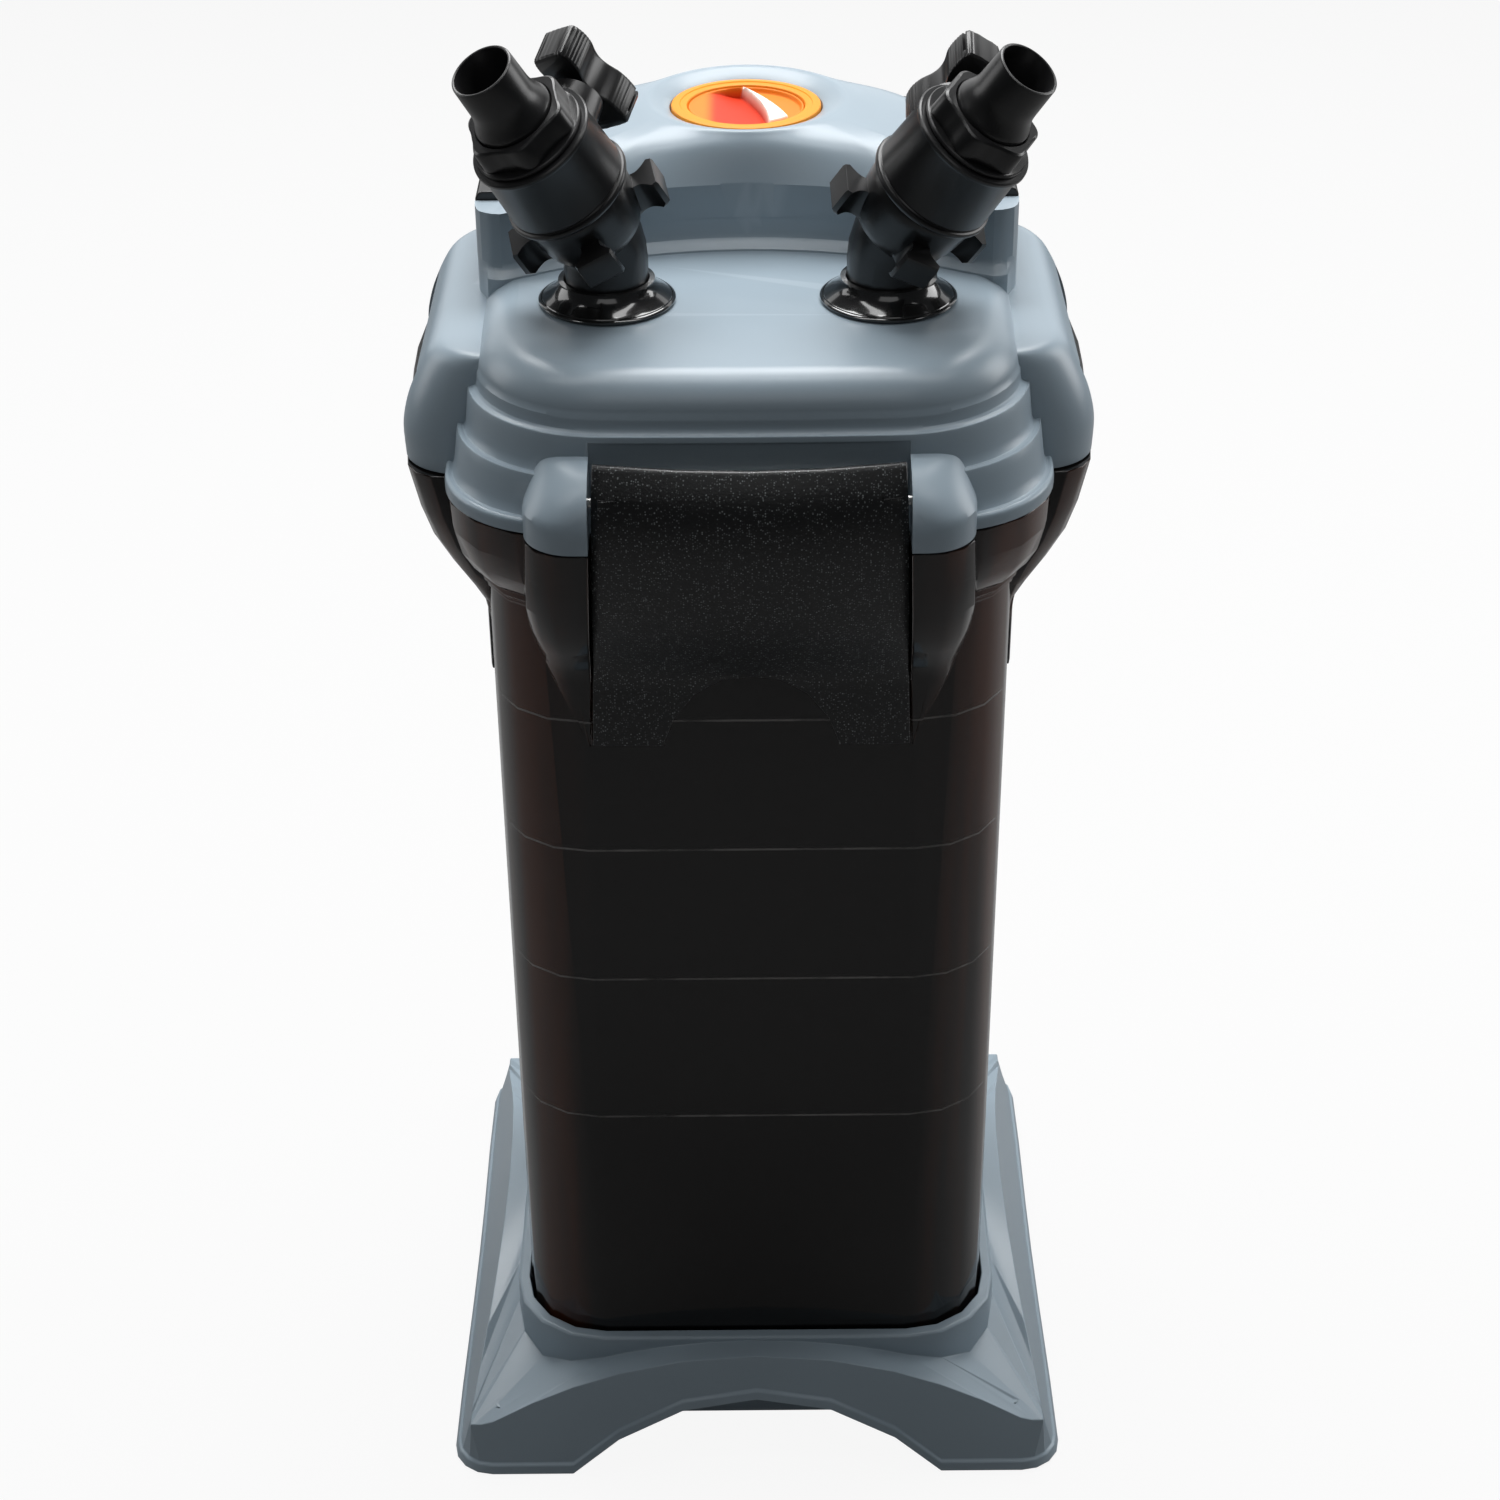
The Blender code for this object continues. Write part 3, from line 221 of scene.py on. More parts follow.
# ---- Foot pads: four soft discs of moulded black rubber under the stand's corners, each pressed into its own
# pocket. They hold the filter still and keep its hum out of the cabinet.
FOOT_PADS = 4
RUBBER = plastic("black_rubber", (0.020, 0.020, 0.021), (0.04, 0.04, 0.04), 0.70, pits=1500.0)
dress(RUBBER, *["foot_pad_%d" % (i + 1) for i in range(FOOT_PADS)])


# ---- Canister: smoked brown styrene-acrylonitrile, one deep vessel with polished walls. The wall is so dark
# that the baskets inside hardly show. A fine pale line is painted on it at each basket joint's height, as a
# painted highlight of the rims, and the corners, where nothing black stands behind the wall, are painted a
# reddish brown, as painted light shining through.
BASKETS = 5


def smoked(joints):
    """Smoked clear plastic with flow marks, painted light in the corners and a painted highlight at each basket
    joint.
    """
    mat = bpy.data.materials.new("smoked_san")
    mat.use_nodes = True
    tree = mat.node_tree
    shader = tree.nodes["Principled BSDF"]
    link = tree.links.new
    place = tree.nodes.new("ShaderNodeTexCoord")

    def ranged(source, low, high, start=0.0, end=1.0):
        node = tree.nodes.new("ShaderNodeMapRange")
        node.interpolation_type = "SMOOTHSTEP"
        for socket, value in (("From Min", low), ("From Max", high), ("To Min", start), ("To Max", end)):
            node.inputs[socket].default_value = value
        link(source, node.inputs["Value"])
        return node.outputs["Result"]

    def maths(operation, first, second):
        node = tree.nodes.new("ShaderNodeMath")
        node.operation = operation
        for socket, value in zip(node.inputs, (first, second)):
            if isinstance(value, float):
                socket.default_value = value
            else:
                link(value, socket)
        return node.outputs[0]

    def mixed(factor, first, second):
        node = tree.nodes.new("ShaderNodeMix")
        node.data_type = "RGBA"
        link(factor, node.inputs["Factor"])
        for socket, value in ((node.inputs["A"], first), (node.inputs["B"], second)):
            if isinstance(value, tuple):
                socket.default_value = (*value, 1.0)
            else:
                link(value, socket)
        return node.outputs["Result"]

    # flow marks run down the wall
    flow = tree.nodes.new("ShaderNodeMapping")
    flow.inputs["Scale"].default_value = (55.0, 55.0, 3.0)
    streak = tree.nodes.new("ShaderNodeTexNoise")
    streak.inputs["Scale"].default_value = 1.0
    streak.inputs["Detail"].default_value = 4.0
    link(place.outputs["Object"], flow.inputs["Vector"])
    link(flow.outputs["Vector"], streak.inputs["Vector"])
    # the corners are where the wall faces neither side squarely; a reddish brown is painted there as light shining
    # through
    split = tree.nodes.new("ShaderNodeSeparateXYZ")
    link(place.outputs["Normal"], split.inputs["Vector"])
    across = maths("MULTIPLY", split.outputs["X"], split.outputs["Y"])
    corner = ranged(maths("ABSOLUTE", across, 0.0), 0.10, 0.42)
    painted_through_light = maths("MULTIPLY", corner, ranged(streak.outputs["Fac"], 0.35, 0.62))
    tone = mixed(painted_through_light, (0.009, 0.008, 0.0075), (0.085, 0.024, 0.009))
    # painted highlight: a pale line with a soft edge at each basket joint's height, standing in for the rims
    # inside
    core, fade = 0.00022, 0.00052
    where = tree.nodes.new("ShaderNodeSeparateXYZ")
    link(place.outputs["Object"], where.inputs["Vector"])
    painted_rim_lines = 0.0
    for height in joints:
        away = maths("ABSOLUTE", maths("SUBTRACT", where.outputs["Z"], height), 0.0)
        line = ranged(away, core, fade, 1.0, 0.0)
        painted_rim_lines = line if painted_rim_lines == 0.0 else maths("MAXIMUM", painted_rim_lines, line)
    faint = maths("MULTIPLY", painted_rim_lines, ranged(streak.outputs["Fac"], 0.30, 0.60, 0.25, 1.0))
    tone = mixed(faint, tone, (0.24, 0.23, 0.22))
    link(tone, shader.inputs["Base Color"])
    ripple = tree.nodes.new("ShaderNodeBump")
    ripple.inputs["Strength"].default_value = 0.10
    ripple.inputs["Distance"].default_value = 0.0004
    link(streak.outputs["Fac"], ripple.inputs["Height"])
    link(ripple.outputs["Normal"], shader.inputs["Normal"])
    link(ranged(streak.outputs["Fac"], 0.2, 0.8, 0.05, 0.14), shader.inputs["Roughness"])
    shader.inputs["Transmission Weight"].default_value = 0.35
    shader.inputs["IOR"].default_value = 1.45
    return mat


mould(smoked([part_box("media_basket_%d" % i)[1][2] for i in range(1, BASKETS)]), "canister")

# ---- Media baskets: five stacked black baskets in plain polypropylene, each standing on the rim of the one
# below, with a square of coarse filter foam in each, and the down tube through the corner. The pump's plate,
# block, cover and ducts over them are moulded in the same black.
BASKET = plastic("basket_polypropylene", (0.012, 0.012, 0.013), (0.05, 0.05, 0.05), 0.34, pits=900.0)
dress(BASKET, *["media_basket_%d" % (i + 1) for i in range(BASKETS)], "down_tube", "pump_plate",
      "intake_cover", "motor_block", "inlet_duct", "outlet_duct")
FOAM = plastic("filter_foam", (0.030, 0.035, 0.040), (0.07, 0.07, 0.07), 0.85, pits=520.0, depth=0.0012,
               drift=0.3, strength=0.9)
dress(FOAM, *["media_pad_%d" % (i + 1) for i in range(BASKETS)])

# ---- Head: the motor housing, one stepped blue-grey ABS moulding that caps the canister: a bowl in three
# tiers, caps over the clip pins, a raised block with two ears and a domed crown for the priming dial. A black
# shroud with a rubber bush for the mains lead snaps on behind, and a rubber ring seals it to the canister.
MILL = 0.001


def stood(origin, z_axis, x_axis):
    """The place of a piece made about Z: its Z along z_axis, its X as near x_axis as it can lie."""
    z = Vector(z_axis).normalized()
    x = Vector(x_axis)
    x = (x - z * x.dot(z)).normalized()
    return Matrix.Translation(origin) @ Matrix((x, z.cross(x), z)).transposed().to_4x4()


def spun(profile, steps=96):
    """A closed outline of (radius, height) in millimetres, spun about Z."""
    seam = 1e-7
    bm = bmesh.new()
    verts = [bm.verts.new((r * MILL, 0.0, z * MILL)) for r, z in profile]
    edges = [bm.edges.new(pair) for pair in zip(verts, verts[1:])]
    if profile[0][0] > 0.0 or profile[-1][0] > 0.0:
        edges.append(bm.edges.new((verts[-1], verts[0])))
    bmesh.ops.spin(bm, geom=verts + edges, axis=(0, 0, 1), cent=(0, 0, 0), steps=steps, angle=2 * math.pi,
                   use_merge=True)
    bmesh.ops.remove_doubles(bm, verts=bm.verts, dist=seam)
    return bm


def lofted(outlines, ring=False):
    """A solid through a stack of outlines of equal count, in millimetres.

    A ring joins its last outline to its first, and has no end faces.
    """
    bm = bmesh.new()
    loops = [[bm.verts.new(Vector(point) * MILL) for point in outline] for outline in outlines]
    for low, high in zip(loops, loops[1:] + loops[:1] if ring else loops[1:]):
        for i, corner in enumerate(low):
            bm.faces.new((low[i - 1], corner, high[i], high[i - 1]))
    if not ring:
        bm.faces.new(loops[0])
        bm.faces.new(loops[-1])
    return bm


def solid(name, bm, matrix=None, angle=32.0):
    """An object of a finished bmesh, put in its place and shaded smooth up to a sharp edge."""
    bmesh.ops.recalc_face_normals(bm, faces=bm.faces)
    if matrix is not None:
        bmesh.ops.transform(bm, matrix=matrix, verts=bm.verts)
    mesh = bpy.data.meshes.new(name)
    bm.to_mesh(mesh)
    bm.free()
    smoothed(mesh, angle)
    obj = bpy.data.objects.new(name, mesh)
    bpy.context.scene.collection.objects.link(obj)
    return obj


def joined(obj, other, operation="UNION", angle=32.0):
    """Adds the other solid to this one, or cuts it away, and cleans off the crumbs along the seam."""
    crumb = 0.000002
    step = obj.modifiers.new("step", "BOOLEAN")
    step.object = other
    step.operation = operation
    step.solver = "EXACT"
    bpy.context.view_layer.update()
    mesh = bpy.data.meshes.new_from_object(obj.evaluated_get(bpy.context.evaluated_depsgraph_get()))
    obj.modifiers.clear()
    obj.data = mesh
    bpy.data.objects.remove(other, do_unlink=True)
    bm = bmesh.new()
    bm.from_mesh(mesh)
    bmesh.ops.remove_doubles(bm, verts=bm.verts, dist=crumb)
    bmesh.ops.dissolve_degenerate(bm, edges=bm.edges, dist=crumb)
    bm.to_mesh(mesh)
    bm.free()
    smoothed(mesh, angle)


def between(a, b, c, d, u):
    """The point a share u of the way from b to c, on the smooth curve that runs through all four."""
    return 0.5 * (2 * b + (c - a) * u + (2 * a - 5 * b + 4 * c - d) * u ** 2
                  + (3 * b - a - 3 * c + d) * u ** 3)


def eased(rows, steps=4):
    """More rows between the given ones, on a smooth curve through them."""
    rows = [Vector(row) for row in rows]
    out = []
    for i in range(len(rows) - 1):
        four = rows[max(i - 1, 0)], rows[i], rows[i + 1], rows[min(i + 2, len(rows) - 1)]
        out += [between(*four, step / steps) for step in range(steps)]
    return out + [rows[-1]]


def level_ring(half, radius, z, centre=(0.0, 0.0), bow=0.0, corner=14, side=8):
    """A level rounded rectangle whose sides bow out."""
    points = []
    for quarter, (sx, sy) in enumerate(((1, 1), (-1, 1), (-1, -1), (1, -1))):
        arc = []
        for i in range(corner + 1):
            turn = math.pi / 2 * (quarter + i / corner)
            arc.append(Vector((centre[0] + sx * (half[0] - radius) + radius * math.cos(turn),
                               centre[1] + sy * (half[1] - radius) + radius * math.sin(turn), z)))
        points.append(arc)
    ring = []
    for quarter, arc in enumerate(points):
        start, end = arc[-1], points[(quarter + 1) % 4][0]
        turn = math.pi / 2 * (quarter + 1)
        out = Vector((math.cos(turn), math.sin(turn), 0.0))
        ring += arc + [start.lerp(end, i / side) + out * bow * 4.0 * (i / side) * (1.0 - i / side)
                       for i in range(1, side)]
    return ring


def head_bowl():
    """The tiers and the deck's large soft edge."""
    wide, long, bow = 83.2, 88.0, 0.9
    shoulder, soft, corner = 408.0, 12.0, 41.0
    steps = 16
    # height, how far the tier stands out past the deck, corner radius
    tiers = ((374.8, 11.3, 38.0), (378.2, 11.2, 38.2), (379.2, 10.4, 38.6), (380.0, 8.7, 39.0),
             (390.6, 7.4, 41.6), (391.6, 6.6, 41.8), (392.4, 4.9, 42.0),
             (402.4, 3.9, 43.4), (403.4, 3.1, 43.2), (404.4, 1.5, 42.4), (shoulder, 0.9, 41.6))
    stack = [level_ring((wide + d, long + d), r, z, bow=bow - d * 0.08) for z, d, r in eased(tiers)]
    for i in range(1, steps + 1):
        turn = math.pi / 2 * i / steps
        inset = soft * (1.0 - math.cos(turn)) - 0.4
        half = wide - inset, long - inset
        stack.append(level_ring(half, corner - inset, shoulder + soft * math.sin(turn), bow=bow))
    return lofted(stack)


def pin_caps():
    """Two lumps across and along the head, whose ends cap the clip pins."""
    # height and half reach of each lump
    across = ((374.8, 108.8), (384.0, 109.2), (391.0, 108.0), (397.6, 105.8), (405.0, 102.3), (410.0, 98.8),
              (412.4, 93.4), (412.8, 80.0))
    along = ((374.8, 112.8), (382.0, 112.9), (388.0, 110.8), (392.4, 107.0), (395.6, 102.0), (397.3, 95.0),
             (397.6, 88.0))
    sides = [level_ring((reach, 62.0 - (z - 374.5) * 0.10), 19.0, z, (0.0, 5.0))
             for z, reach in eased(across)]
    ends = []
    for z, reach in eased(along):
        rise = max(0.0, z - 384.0)
        ends.append(level_ring((68.0 - rise * 0.45, reach), 15.5 + rise * 0.5, z))
    return [lofted(sides), lofted(ends)]


def raised_block():
    """The block behind the taps: its front wall is a shallow hollow on a foot, and its ears come forward."""
    hollow = 128.0
    middle = 18.0
    front = [(x, middle - (hollow - math.sqrt(hollow ** 2 - x * x))) for x in range(0, 72, 3)]
    ear = ((78.0, -6.7), (80.6, -6.35), (82.7, -5.3), (84.6, -3.9), (85.7, -1.8), (86.5, 1.6), (86.8, 5.6),
           (78.0, 5.6))
    back = ((78.0, 62.0), (77.4, 70.0), (75.5, 76.0), (72.0, 82.0), (67.0, 86.5), (60.2, 89.9), (52.0, 91.6))
    # the third value is the share of the foot that the point takes
    right = [(x, y, 1.0) for x, y in front] + [(x, y, 1.0 if y < -5 else 0.0) for x, y in ear]
    right += [(x, y, 0.0) for x, y in back]
    stack = []
    for z, foot in ((404.0, 4.6), (419.6, 4.6), (420.6, 4.3), (421.4, 3.2), (422.2, 1.7), (423.2, 0.6),
                    (424.6, 0.0), (441.0, 0.0)):
        half = [Vector((x, y - foot * share, z)) for x, y, share in right]
        left = [Vector((-p.x, p.y, z)) for p in reversed(half[1:])]
        stack.append(half + [Vector((0.0, 93.2, z))] + left)
    return lofted(stack)


BOSS = Vector(next(joint["pos_m"] for joint in frame["joints"] if joint["name"] == "primer_turn"))
BOSS_RADIUS = 33.6


def crown():
    """A ruled slope from the block's top edge up to the round boss of the dial."""
    front = ((0.0, 18.0), (12.0, 17.4), (24.0, 15.7), (36.0, 12.8), (47.0, 9.1), (56.0, 6.2), (66.0, 6.0))
    corner = ((77.4, 6.2),)
    back = ((77.4, 22.0), (77.4, 40.0), (77.4, 56.0), (75.2, 72.0), (64.0, 86.0), (44.0, 91.4), (22.0, 92.6),
            (0.0, 92.9))
    right = eased(front + corner) + eased(corner + back)[1:]
    outline = right + [Vector((-p.x, p.y)) for p in reversed(right[1:-1])]
    middle = Vector((BOSS.x, BOSS.y)) / MILL
    levels = eased(((1.0, 441.0, 0.0), (0.52, 450.9, 0.0), (0.12, 455.1, 0.0), (0.0, 455.9, 0.0)), 8)
    stack = []
    for share, z, _ in [Vector((1.0, 430.0, 0.0))] + levels + [Vector((-0.06, 456.0, 0.0))]:
        outer = []
        for p in outline:
            away = p - middle
            near = away.normalized() * BOSS_RADIUS
            spot = middle + (near.lerp(away, share) if share >= 0.0 else near * (1.0 + share))
            outer.append(Vector((spot.x, spot.y, z)))
        stack.append(outer)
    return lofted(stack)


def shroud_ring(z, grow):
    """Plan of the seat that the shroud drops into."""
    outer = ((86.7, 5.9), (86.7, 64.0), (83.6, 79.4), (73.4, 91.8), (56.0, 96.8), (30.0, 98.2), (0.0, 98.4))
    inner = ((78.5, 5.9), (78.5, 62.0), (76.0, 76.4), (67.4, 87.1), (52.2, 92.1), (30.0, 93.3), (0.0, 93.7))
    mouth = 6.0
    right = []
    wall = []
    for o, n in zip(outer, inner):
        o, n = Vector(o), Vector(n)
        across = (n - o).normalized()
        front = Vector((0.0, -grow * 1.3 if o.y < mouth else 0.0))
        right.append(o - across * grow + front)
        wall.append(n + across * grow + front)
    ring = right + [Vector((-p.x, p.y)) for p in reversed(right[:-1])]
    ring += [Vector((-p.x, p.y)) for p in wall[:-1]] + list(reversed(wall))
    return [Vector((p.x, p.y, z)) for p in ring]


def bores():
    """Cutters for the dial's seat and for the two ports under the taps."""
    seat = ((0.0, 428.0), (5.2, 428.0), (5.2, 447.6), (25.4, 447.6), (25.4, 452.4), (25.6, 452.9),
            (26.6, 453.6), (28.6, 454.6), (31.0, 455.5), (32.4, 456.0), (32.4, 470.0), (0.0, 470.0))
    port = ((0.0, 400.0), (13.6, 400.0), (13.6, 430.0), (0.0, 430.0))
    port_x, port_y = 0.044, -0.0265
    cuts = []
    for profile, x, y in ((seat, BOSS.x, BOSS.y), (port, port_x, port_y), (port, -port_x, port_y)):
        cut = spun(profile, 96)
        bmesh.ops.translate(cut, vec=(x, y, 0.0), verts=cut.verts)
        cuts.append(cut)
    return cuts


def clip_recess(clip):
    """Cutters for one clip: the pocket that its crest lies in, open outwards, and the bore of its pin."""
    # metres: the cap over each end of the pin, and how far the pocket reaches behind the pin and outwards
    shoulder, behind, past = 0.0049, 0.0107, 0.125
    # metres: the pocket's middle and its height
    level, height = 0.3868, 0.0296
    # millimetres: how far the bore runs past the pin's end, and its radius
    spare, radius = 0.6, 1.8
    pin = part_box("latch_pin_" + clip)
    middle = (pin[0] + pin[1]) / 2
    along = Vector((1.0, 0.0, 0.0)) if clip in ("front", "rear") else Vector((0.0, 1.0, 0.0))
    out = Vector((middle.x, middle.y, 0.0)) - along * along.dot(middle)
    reach = (pin[1] - pin[0]).dot(along) / 2
    wide = reach - shoulder
    way = out.normalized()
    near = way * (out.length - behind)
    far = way * past
    centre = (near + far) / 2 + along * along.dot(middle) + Vector((0.0, 0.0, level))
    size = Vector([abs(v) for v in (far - near)]) + Vector([abs(v) * 2 * wide for v in along])
    pocket = bmesh.new()
    bmesh.ops.create_cube(pocket, size=1.0, matrix=Matrix.Translation(centre)
                          @ Matrix.Diagonal((size.x, size.y, height, 1.0)))
    end = reach / MILL + spare
    bore = spun([(0.0, -end), (radius, -end), (radius, end), (0.0, end)], 32)
    bmesh.ops.transform(bore, matrix=stood(middle, along, (0, 0, 1)), verts=bore.verts)
    return [pocket, bore]


def head():
    """The whole moulding: lumps joined to the bowl, then its hollow, its seats and its recesses cut."""
    crease = 24.0
    body = solid("head_shell", head_bowl())
    for lump in pin_caps() + [raised_block(), crown()]:
        joined(body, solid("lump", lump), angle=crease)
    # height, half size and corner radius of the plug that drops into the canister, with its seal's groove
    plug = ((359.0, (90.5, 95.5), 34.6), (362.0, (90.7, 95.7), 34.8), (362.0, (88.5, 93.5), 32.6),
            (368.0, (88.5, 93.5), 32.6), (368.0, (90.7, 95.7), 34.8), (378.0, (90.7, 95.7), 34.8))
    joined(body, solid("plug", lofted([level_ring(half, r, z) for z, half, r in plug])), angle=crease)
    bowl = ((350.0, (84.0, 89.0), 29.0), (398.0, (83.0, 88.0), 34.0), (406.0, (79.0, 84.0), 36.0),
            (416.6, (74.0, 79.0), 34.0))
    room = ((410.0, (72.0, 31.0)), (437.0, (70.0, 29.0)))
    cuts = [lofted([level_ring(half, r, z) for z, half, r in bowl]),
            lofted([level_ring(half, 18.0, z, (0.0, 57.5)) for z, half in room]),
            lofted([shroud_ring(412.9, 0.3), shroud_ring(450.0, 0.3)])]
    cuts += bores()
    for clip in ("front", "rear", "right", "left"):
        cuts += clip_recess(clip)
    for cut in cuts:
        joined(body, solid("cut", cut), "DIFFERENCE", angle=crease)
    rounded_off(body, 0.0003, 2, crease)
    return body


show(head(), GREY, "head_housing")
BLACK = plastic("black_nylon", (0.008, 0.008, 0.0085), (0.04, 0.04, 0.042), 0.24, pits=1400.0,
                depth=0.00003, drift=0.15, edge_highlight=0.5)
mould(BLACK, "rear_cover")
dress(RUBBER, "cord_gland", "lid_seal")

# ---- Priming dial: a yellow-orange bezel pressed into the crown, round a turning disc. A crescent ridge
# sweeps across the disc, painted pale along it as a highlight, with a scoop for the thumb on one side of it,
# painted red-orange as shade, and a shallow orange recess on the other.
ORANGE = plastic("orange_abs", (0.84, 0.29, 0.008), (0.95, 0.45, 0.10), 0.42, drift=0.03,
                 Specular_IOR_Level=0.25)


def step_up(low, high, value):
    """From nought at low to one at high, with a soft start and end."""
    share = min(1.0, max(0.0, (value - low) / (high - low)))
    return share * share * (3.0 - 2.0 * share)


DIAL = 19.3
DIAL_TOP = 452.8


def dial_shape(x, y):
    """Height of the dial's face in millimetres, and how far it is scoop and ridge there, for painted shade and
    highlight.
    """
    lip, depth = 452.7, 3.3
    recess = 451.3
    ridge_top = 453.6
    half = 18.0
    sweep = min(1.0, max(0.0, (half - y) / (2 * half)))
    near = -1.0 + 8.6 * (1.0 - (1.0 - sweep) ** 2)
    far = near + 7.4 * sweep
    scoop = step_up(-14.5, -9.5, x) * (1.0 - step_up(near - 0.5, near + 0.1, x))
    ridge = step_up(near - 0.6, near, x) * (1.0 - step_up(far, far + 0.7, x))
    left = lip - depth * step_up(-15.0, near - 1.0, x)
    floor = left if x < (near + far) / 2 else recess
    face = floor + (ridge_top - floor) * ridge
    rim = step_up(17.9, 18.7, math.hypot(x, y))
    return face + (DIAL_TOP - face) * rim, scoop * (1.0 - rim), ridge * (1.0 - rim)


def dial():
    """A disc on a short stem. Its face is spun flat in fine rings, which are then set to the dial's shape."""
    rings = 72
    edge = DIAL - 0.3
    profile = [(0.0, 436.0), (4.8, 436.0), (4.8, 448.0), (DIAL, 448.0), (DIAL, 452.5), (edge, DIAL_TOP)]
    profile += [(edge * (1.0 - i / rings), DIAL_TOP) for i in range(1, rings + 1)]
    bm = spun(profile, 240)
    marks = {name: bm.verts.layers.float.new(name) for name in ("scoop", "ridge")}
    for vert in bm.verts:
        x, y = vert.co.x / MILL, vert.co.y / MILL
        if vert.co.z > (DIAL_TOP - 0.1) * MILL and math.hypot(x, y) < DIAL - 0.4:
            height, scoop, ridge = dial_shape(x, y)
            vert.co.z = height * MILL
            vert[marks["scoop"]] = scoop
            vert[marks["ridge"]] = ridge
    return solid("dial", bm, Matrix.Translation((BOSS.x, BOSS.y, 0.0)), 60.0)


def dial_plastic():
    """Orange, with painted shade deepening it to red-orange in the scoop, and a pale painted highlight along the
    ridge.
    """
    mat = plastic("red_orange_abs", (0.78, 0.21, 0.008), (0.95, 0.40, 0.10), 0.42, drift=0.03,
                  Specular_IOR_Level=0.25)
    tree = mat.node_tree
    shader = tree.nodes["Principled BSDF"]
    tone = shader.inputs["Base Color"].links[0].from_socket
    # painted shade in the scoop, painted highlight along the ridge
    for name, colour in (("scoop", (0.62, 0.030, 0.002)), ("ridge", (0.90, 0.86, 0.78))):
        mark = tree.nodes.new("ShaderNodeAttribute")
        mark.attribute_name = name
        mix = tree.nodes.new("ShaderNodeMix")
        mix.data_type = "RGBA"
        mix.inputs["B"].default_value = (*colour, 1.0)
        tree.links.new(mark.outputs["Fac"], mix.inputs["Factor"])
        tree.links.new(tone, mix.inputs["A"])
        tone = mix.outputs["Result"]
    tree.links.new(tone, shader.inputs["Base Color"])
    return mat


show(dial(), dial_plastic(), "primer_knob")
bezel = [(19.6, 448.0), (25.0, 448.0), (25.0, 453.2), (24.8, 453.6), (24.4, 453.8), (22.2, 453.9),
         (21.9, 453.6), (20.3, 453.5), (19.8, 453.3), (19.6, 452.9)]
show(solid("bezel", spun(bezel, 128), Matrix.Translation((BOSS.x, BOSS.y, 0.0))), ORANGE, "primer_bezel")

# ---- Impeller: a bonded ferrite magnet with moulded blades, which the motor's field turns. It runs wet on a
# ground ceramic shaft, behind the intake cover.
CERAMIC = plastic("white_ceramic", (0.80, 0.79, 0.75), (0.85, 0.84, 0.8), 0.20)
MAGNET = plastic("ferrite", (0.05, 0.05, 0.055), (0.10, 0.10, 0.10), 0.32)
dress(CERAMIC, "impeller_shaft")
dress(MAGNET, "impeller")

# ---- Latches: four sprung clips in spark-etched black nylon, each with a finger arch at its foot. They swing
# on ground steel pins in the head's recesses and hold it down on the canister.
CLIPS = ("front", "rear", "left", "right")


def etched():
    """Spark-etched nylon: a crust of grains a millimetre apart on a black ground, with pale specks painted in as
    glints.
    """
    mat = plastic("etched_nylon", (0.005, 0.0055, 0.006), (0.02, 0.02, 0.02), 0.30, pits=1500.0, depth=0.0003,
                  drift=0.2, edge_highlight=0.1, strength=0.45)
    tree = mat.node_tree
    shader = tree.nodes["Principled BSDF"]
    place = tree.nodes.new("ShaderNodeTexCoord")
    cells = tree.nodes.new("ShaderNodeTexVoronoi")
    cells.inputs["Scale"].default_value = 1500.0
    split = tree.nodes.new("ShaderNodeSeparateColor")
    chosen = tree.nodes.new("ShaderNodeMapRange")
    chosen.inputs["From Min"].default_value = 0.50
    chosen.inputs["From Max"].default_value = 1.0
    near = tree.nodes.new("ShaderNodeMapRange")
    near.inputs["From Min"].default_value = 0.45
    near.inputs["From Max"].default_value = 0.20
    both = tree.nodes.new("ShaderNodeMath")
    both.operation = "MULTIPLY"
    # painted glints: pale specks on the grain
    painted_glint = tree.nodes.new("ShaderNodeMix")
    painted_glint.data_type = "RGBA"
    painted_glint.inputs["B"].default_value = (0.26, 0.28, 0.285, 1.0)
    link = tree.links.new
    link(place.outputs["Object"], cells.inputs["Vector"])
    link(cells.outputs["Color"], split.inputs["Color"])
    link(split.outputs["Red"], chosen.inputs["Value"])
    link(cells.outputs["Distance"], near.inputs["Value"])
    link(chosen.outputs["Result"], both.inputs[0])
    link(near.outputs["Result"], both.inputs[1])
    link(both.outputs[0], painted_glint.inputs["Factor"])
    link(shader.inputs["Base Color"].links[0].from_socket, painted_glint.inputs["A"])
    link(painted_glint.outputs["Result"], shader.inputs["Base Color"])
    return mat


GRAIN = etched()
STEEL = plastic("pin_steel", (0.62, 0.62, 0.60), (0.8, 0.8, 0.8), 0.18, Metallic=1.0)
for clip in CLIPS:
    mould(GRAIN, "latch_" + clip)
dress(STEEL, *["latch_pin_" + clip for clip in CLIPS])

# ---- Taps: on each side a polished flange, a bent riser, a union nut with four claw lugs, a ball valve with
# winged handle, a six-lobed cap nut and a plain hose tail, all in black nylon on one leaning axis. UNION and
# BALL are millimetres up it from the bend. TAPS holds the nuts' turn in degrees and the way the handle lies.
BALL = 36.0
UNION = 12.0
TAPS = {"left": (55.0, (0.5924, 0.2662, -0.7604)), "right": (42.0, (0.5667, -0.3143, 0.7616))}
JOINTS = {joint["name"]: joint for joint in frame["joints"]}
POLISHED = plastic("polished_nylon", (0.010, 0.010, 0.010), (0.03, 0.03, 0.03), 0.10, depth=0.00001,
                   Coat_Weight=1.0, Coat_Roughness=0.05)


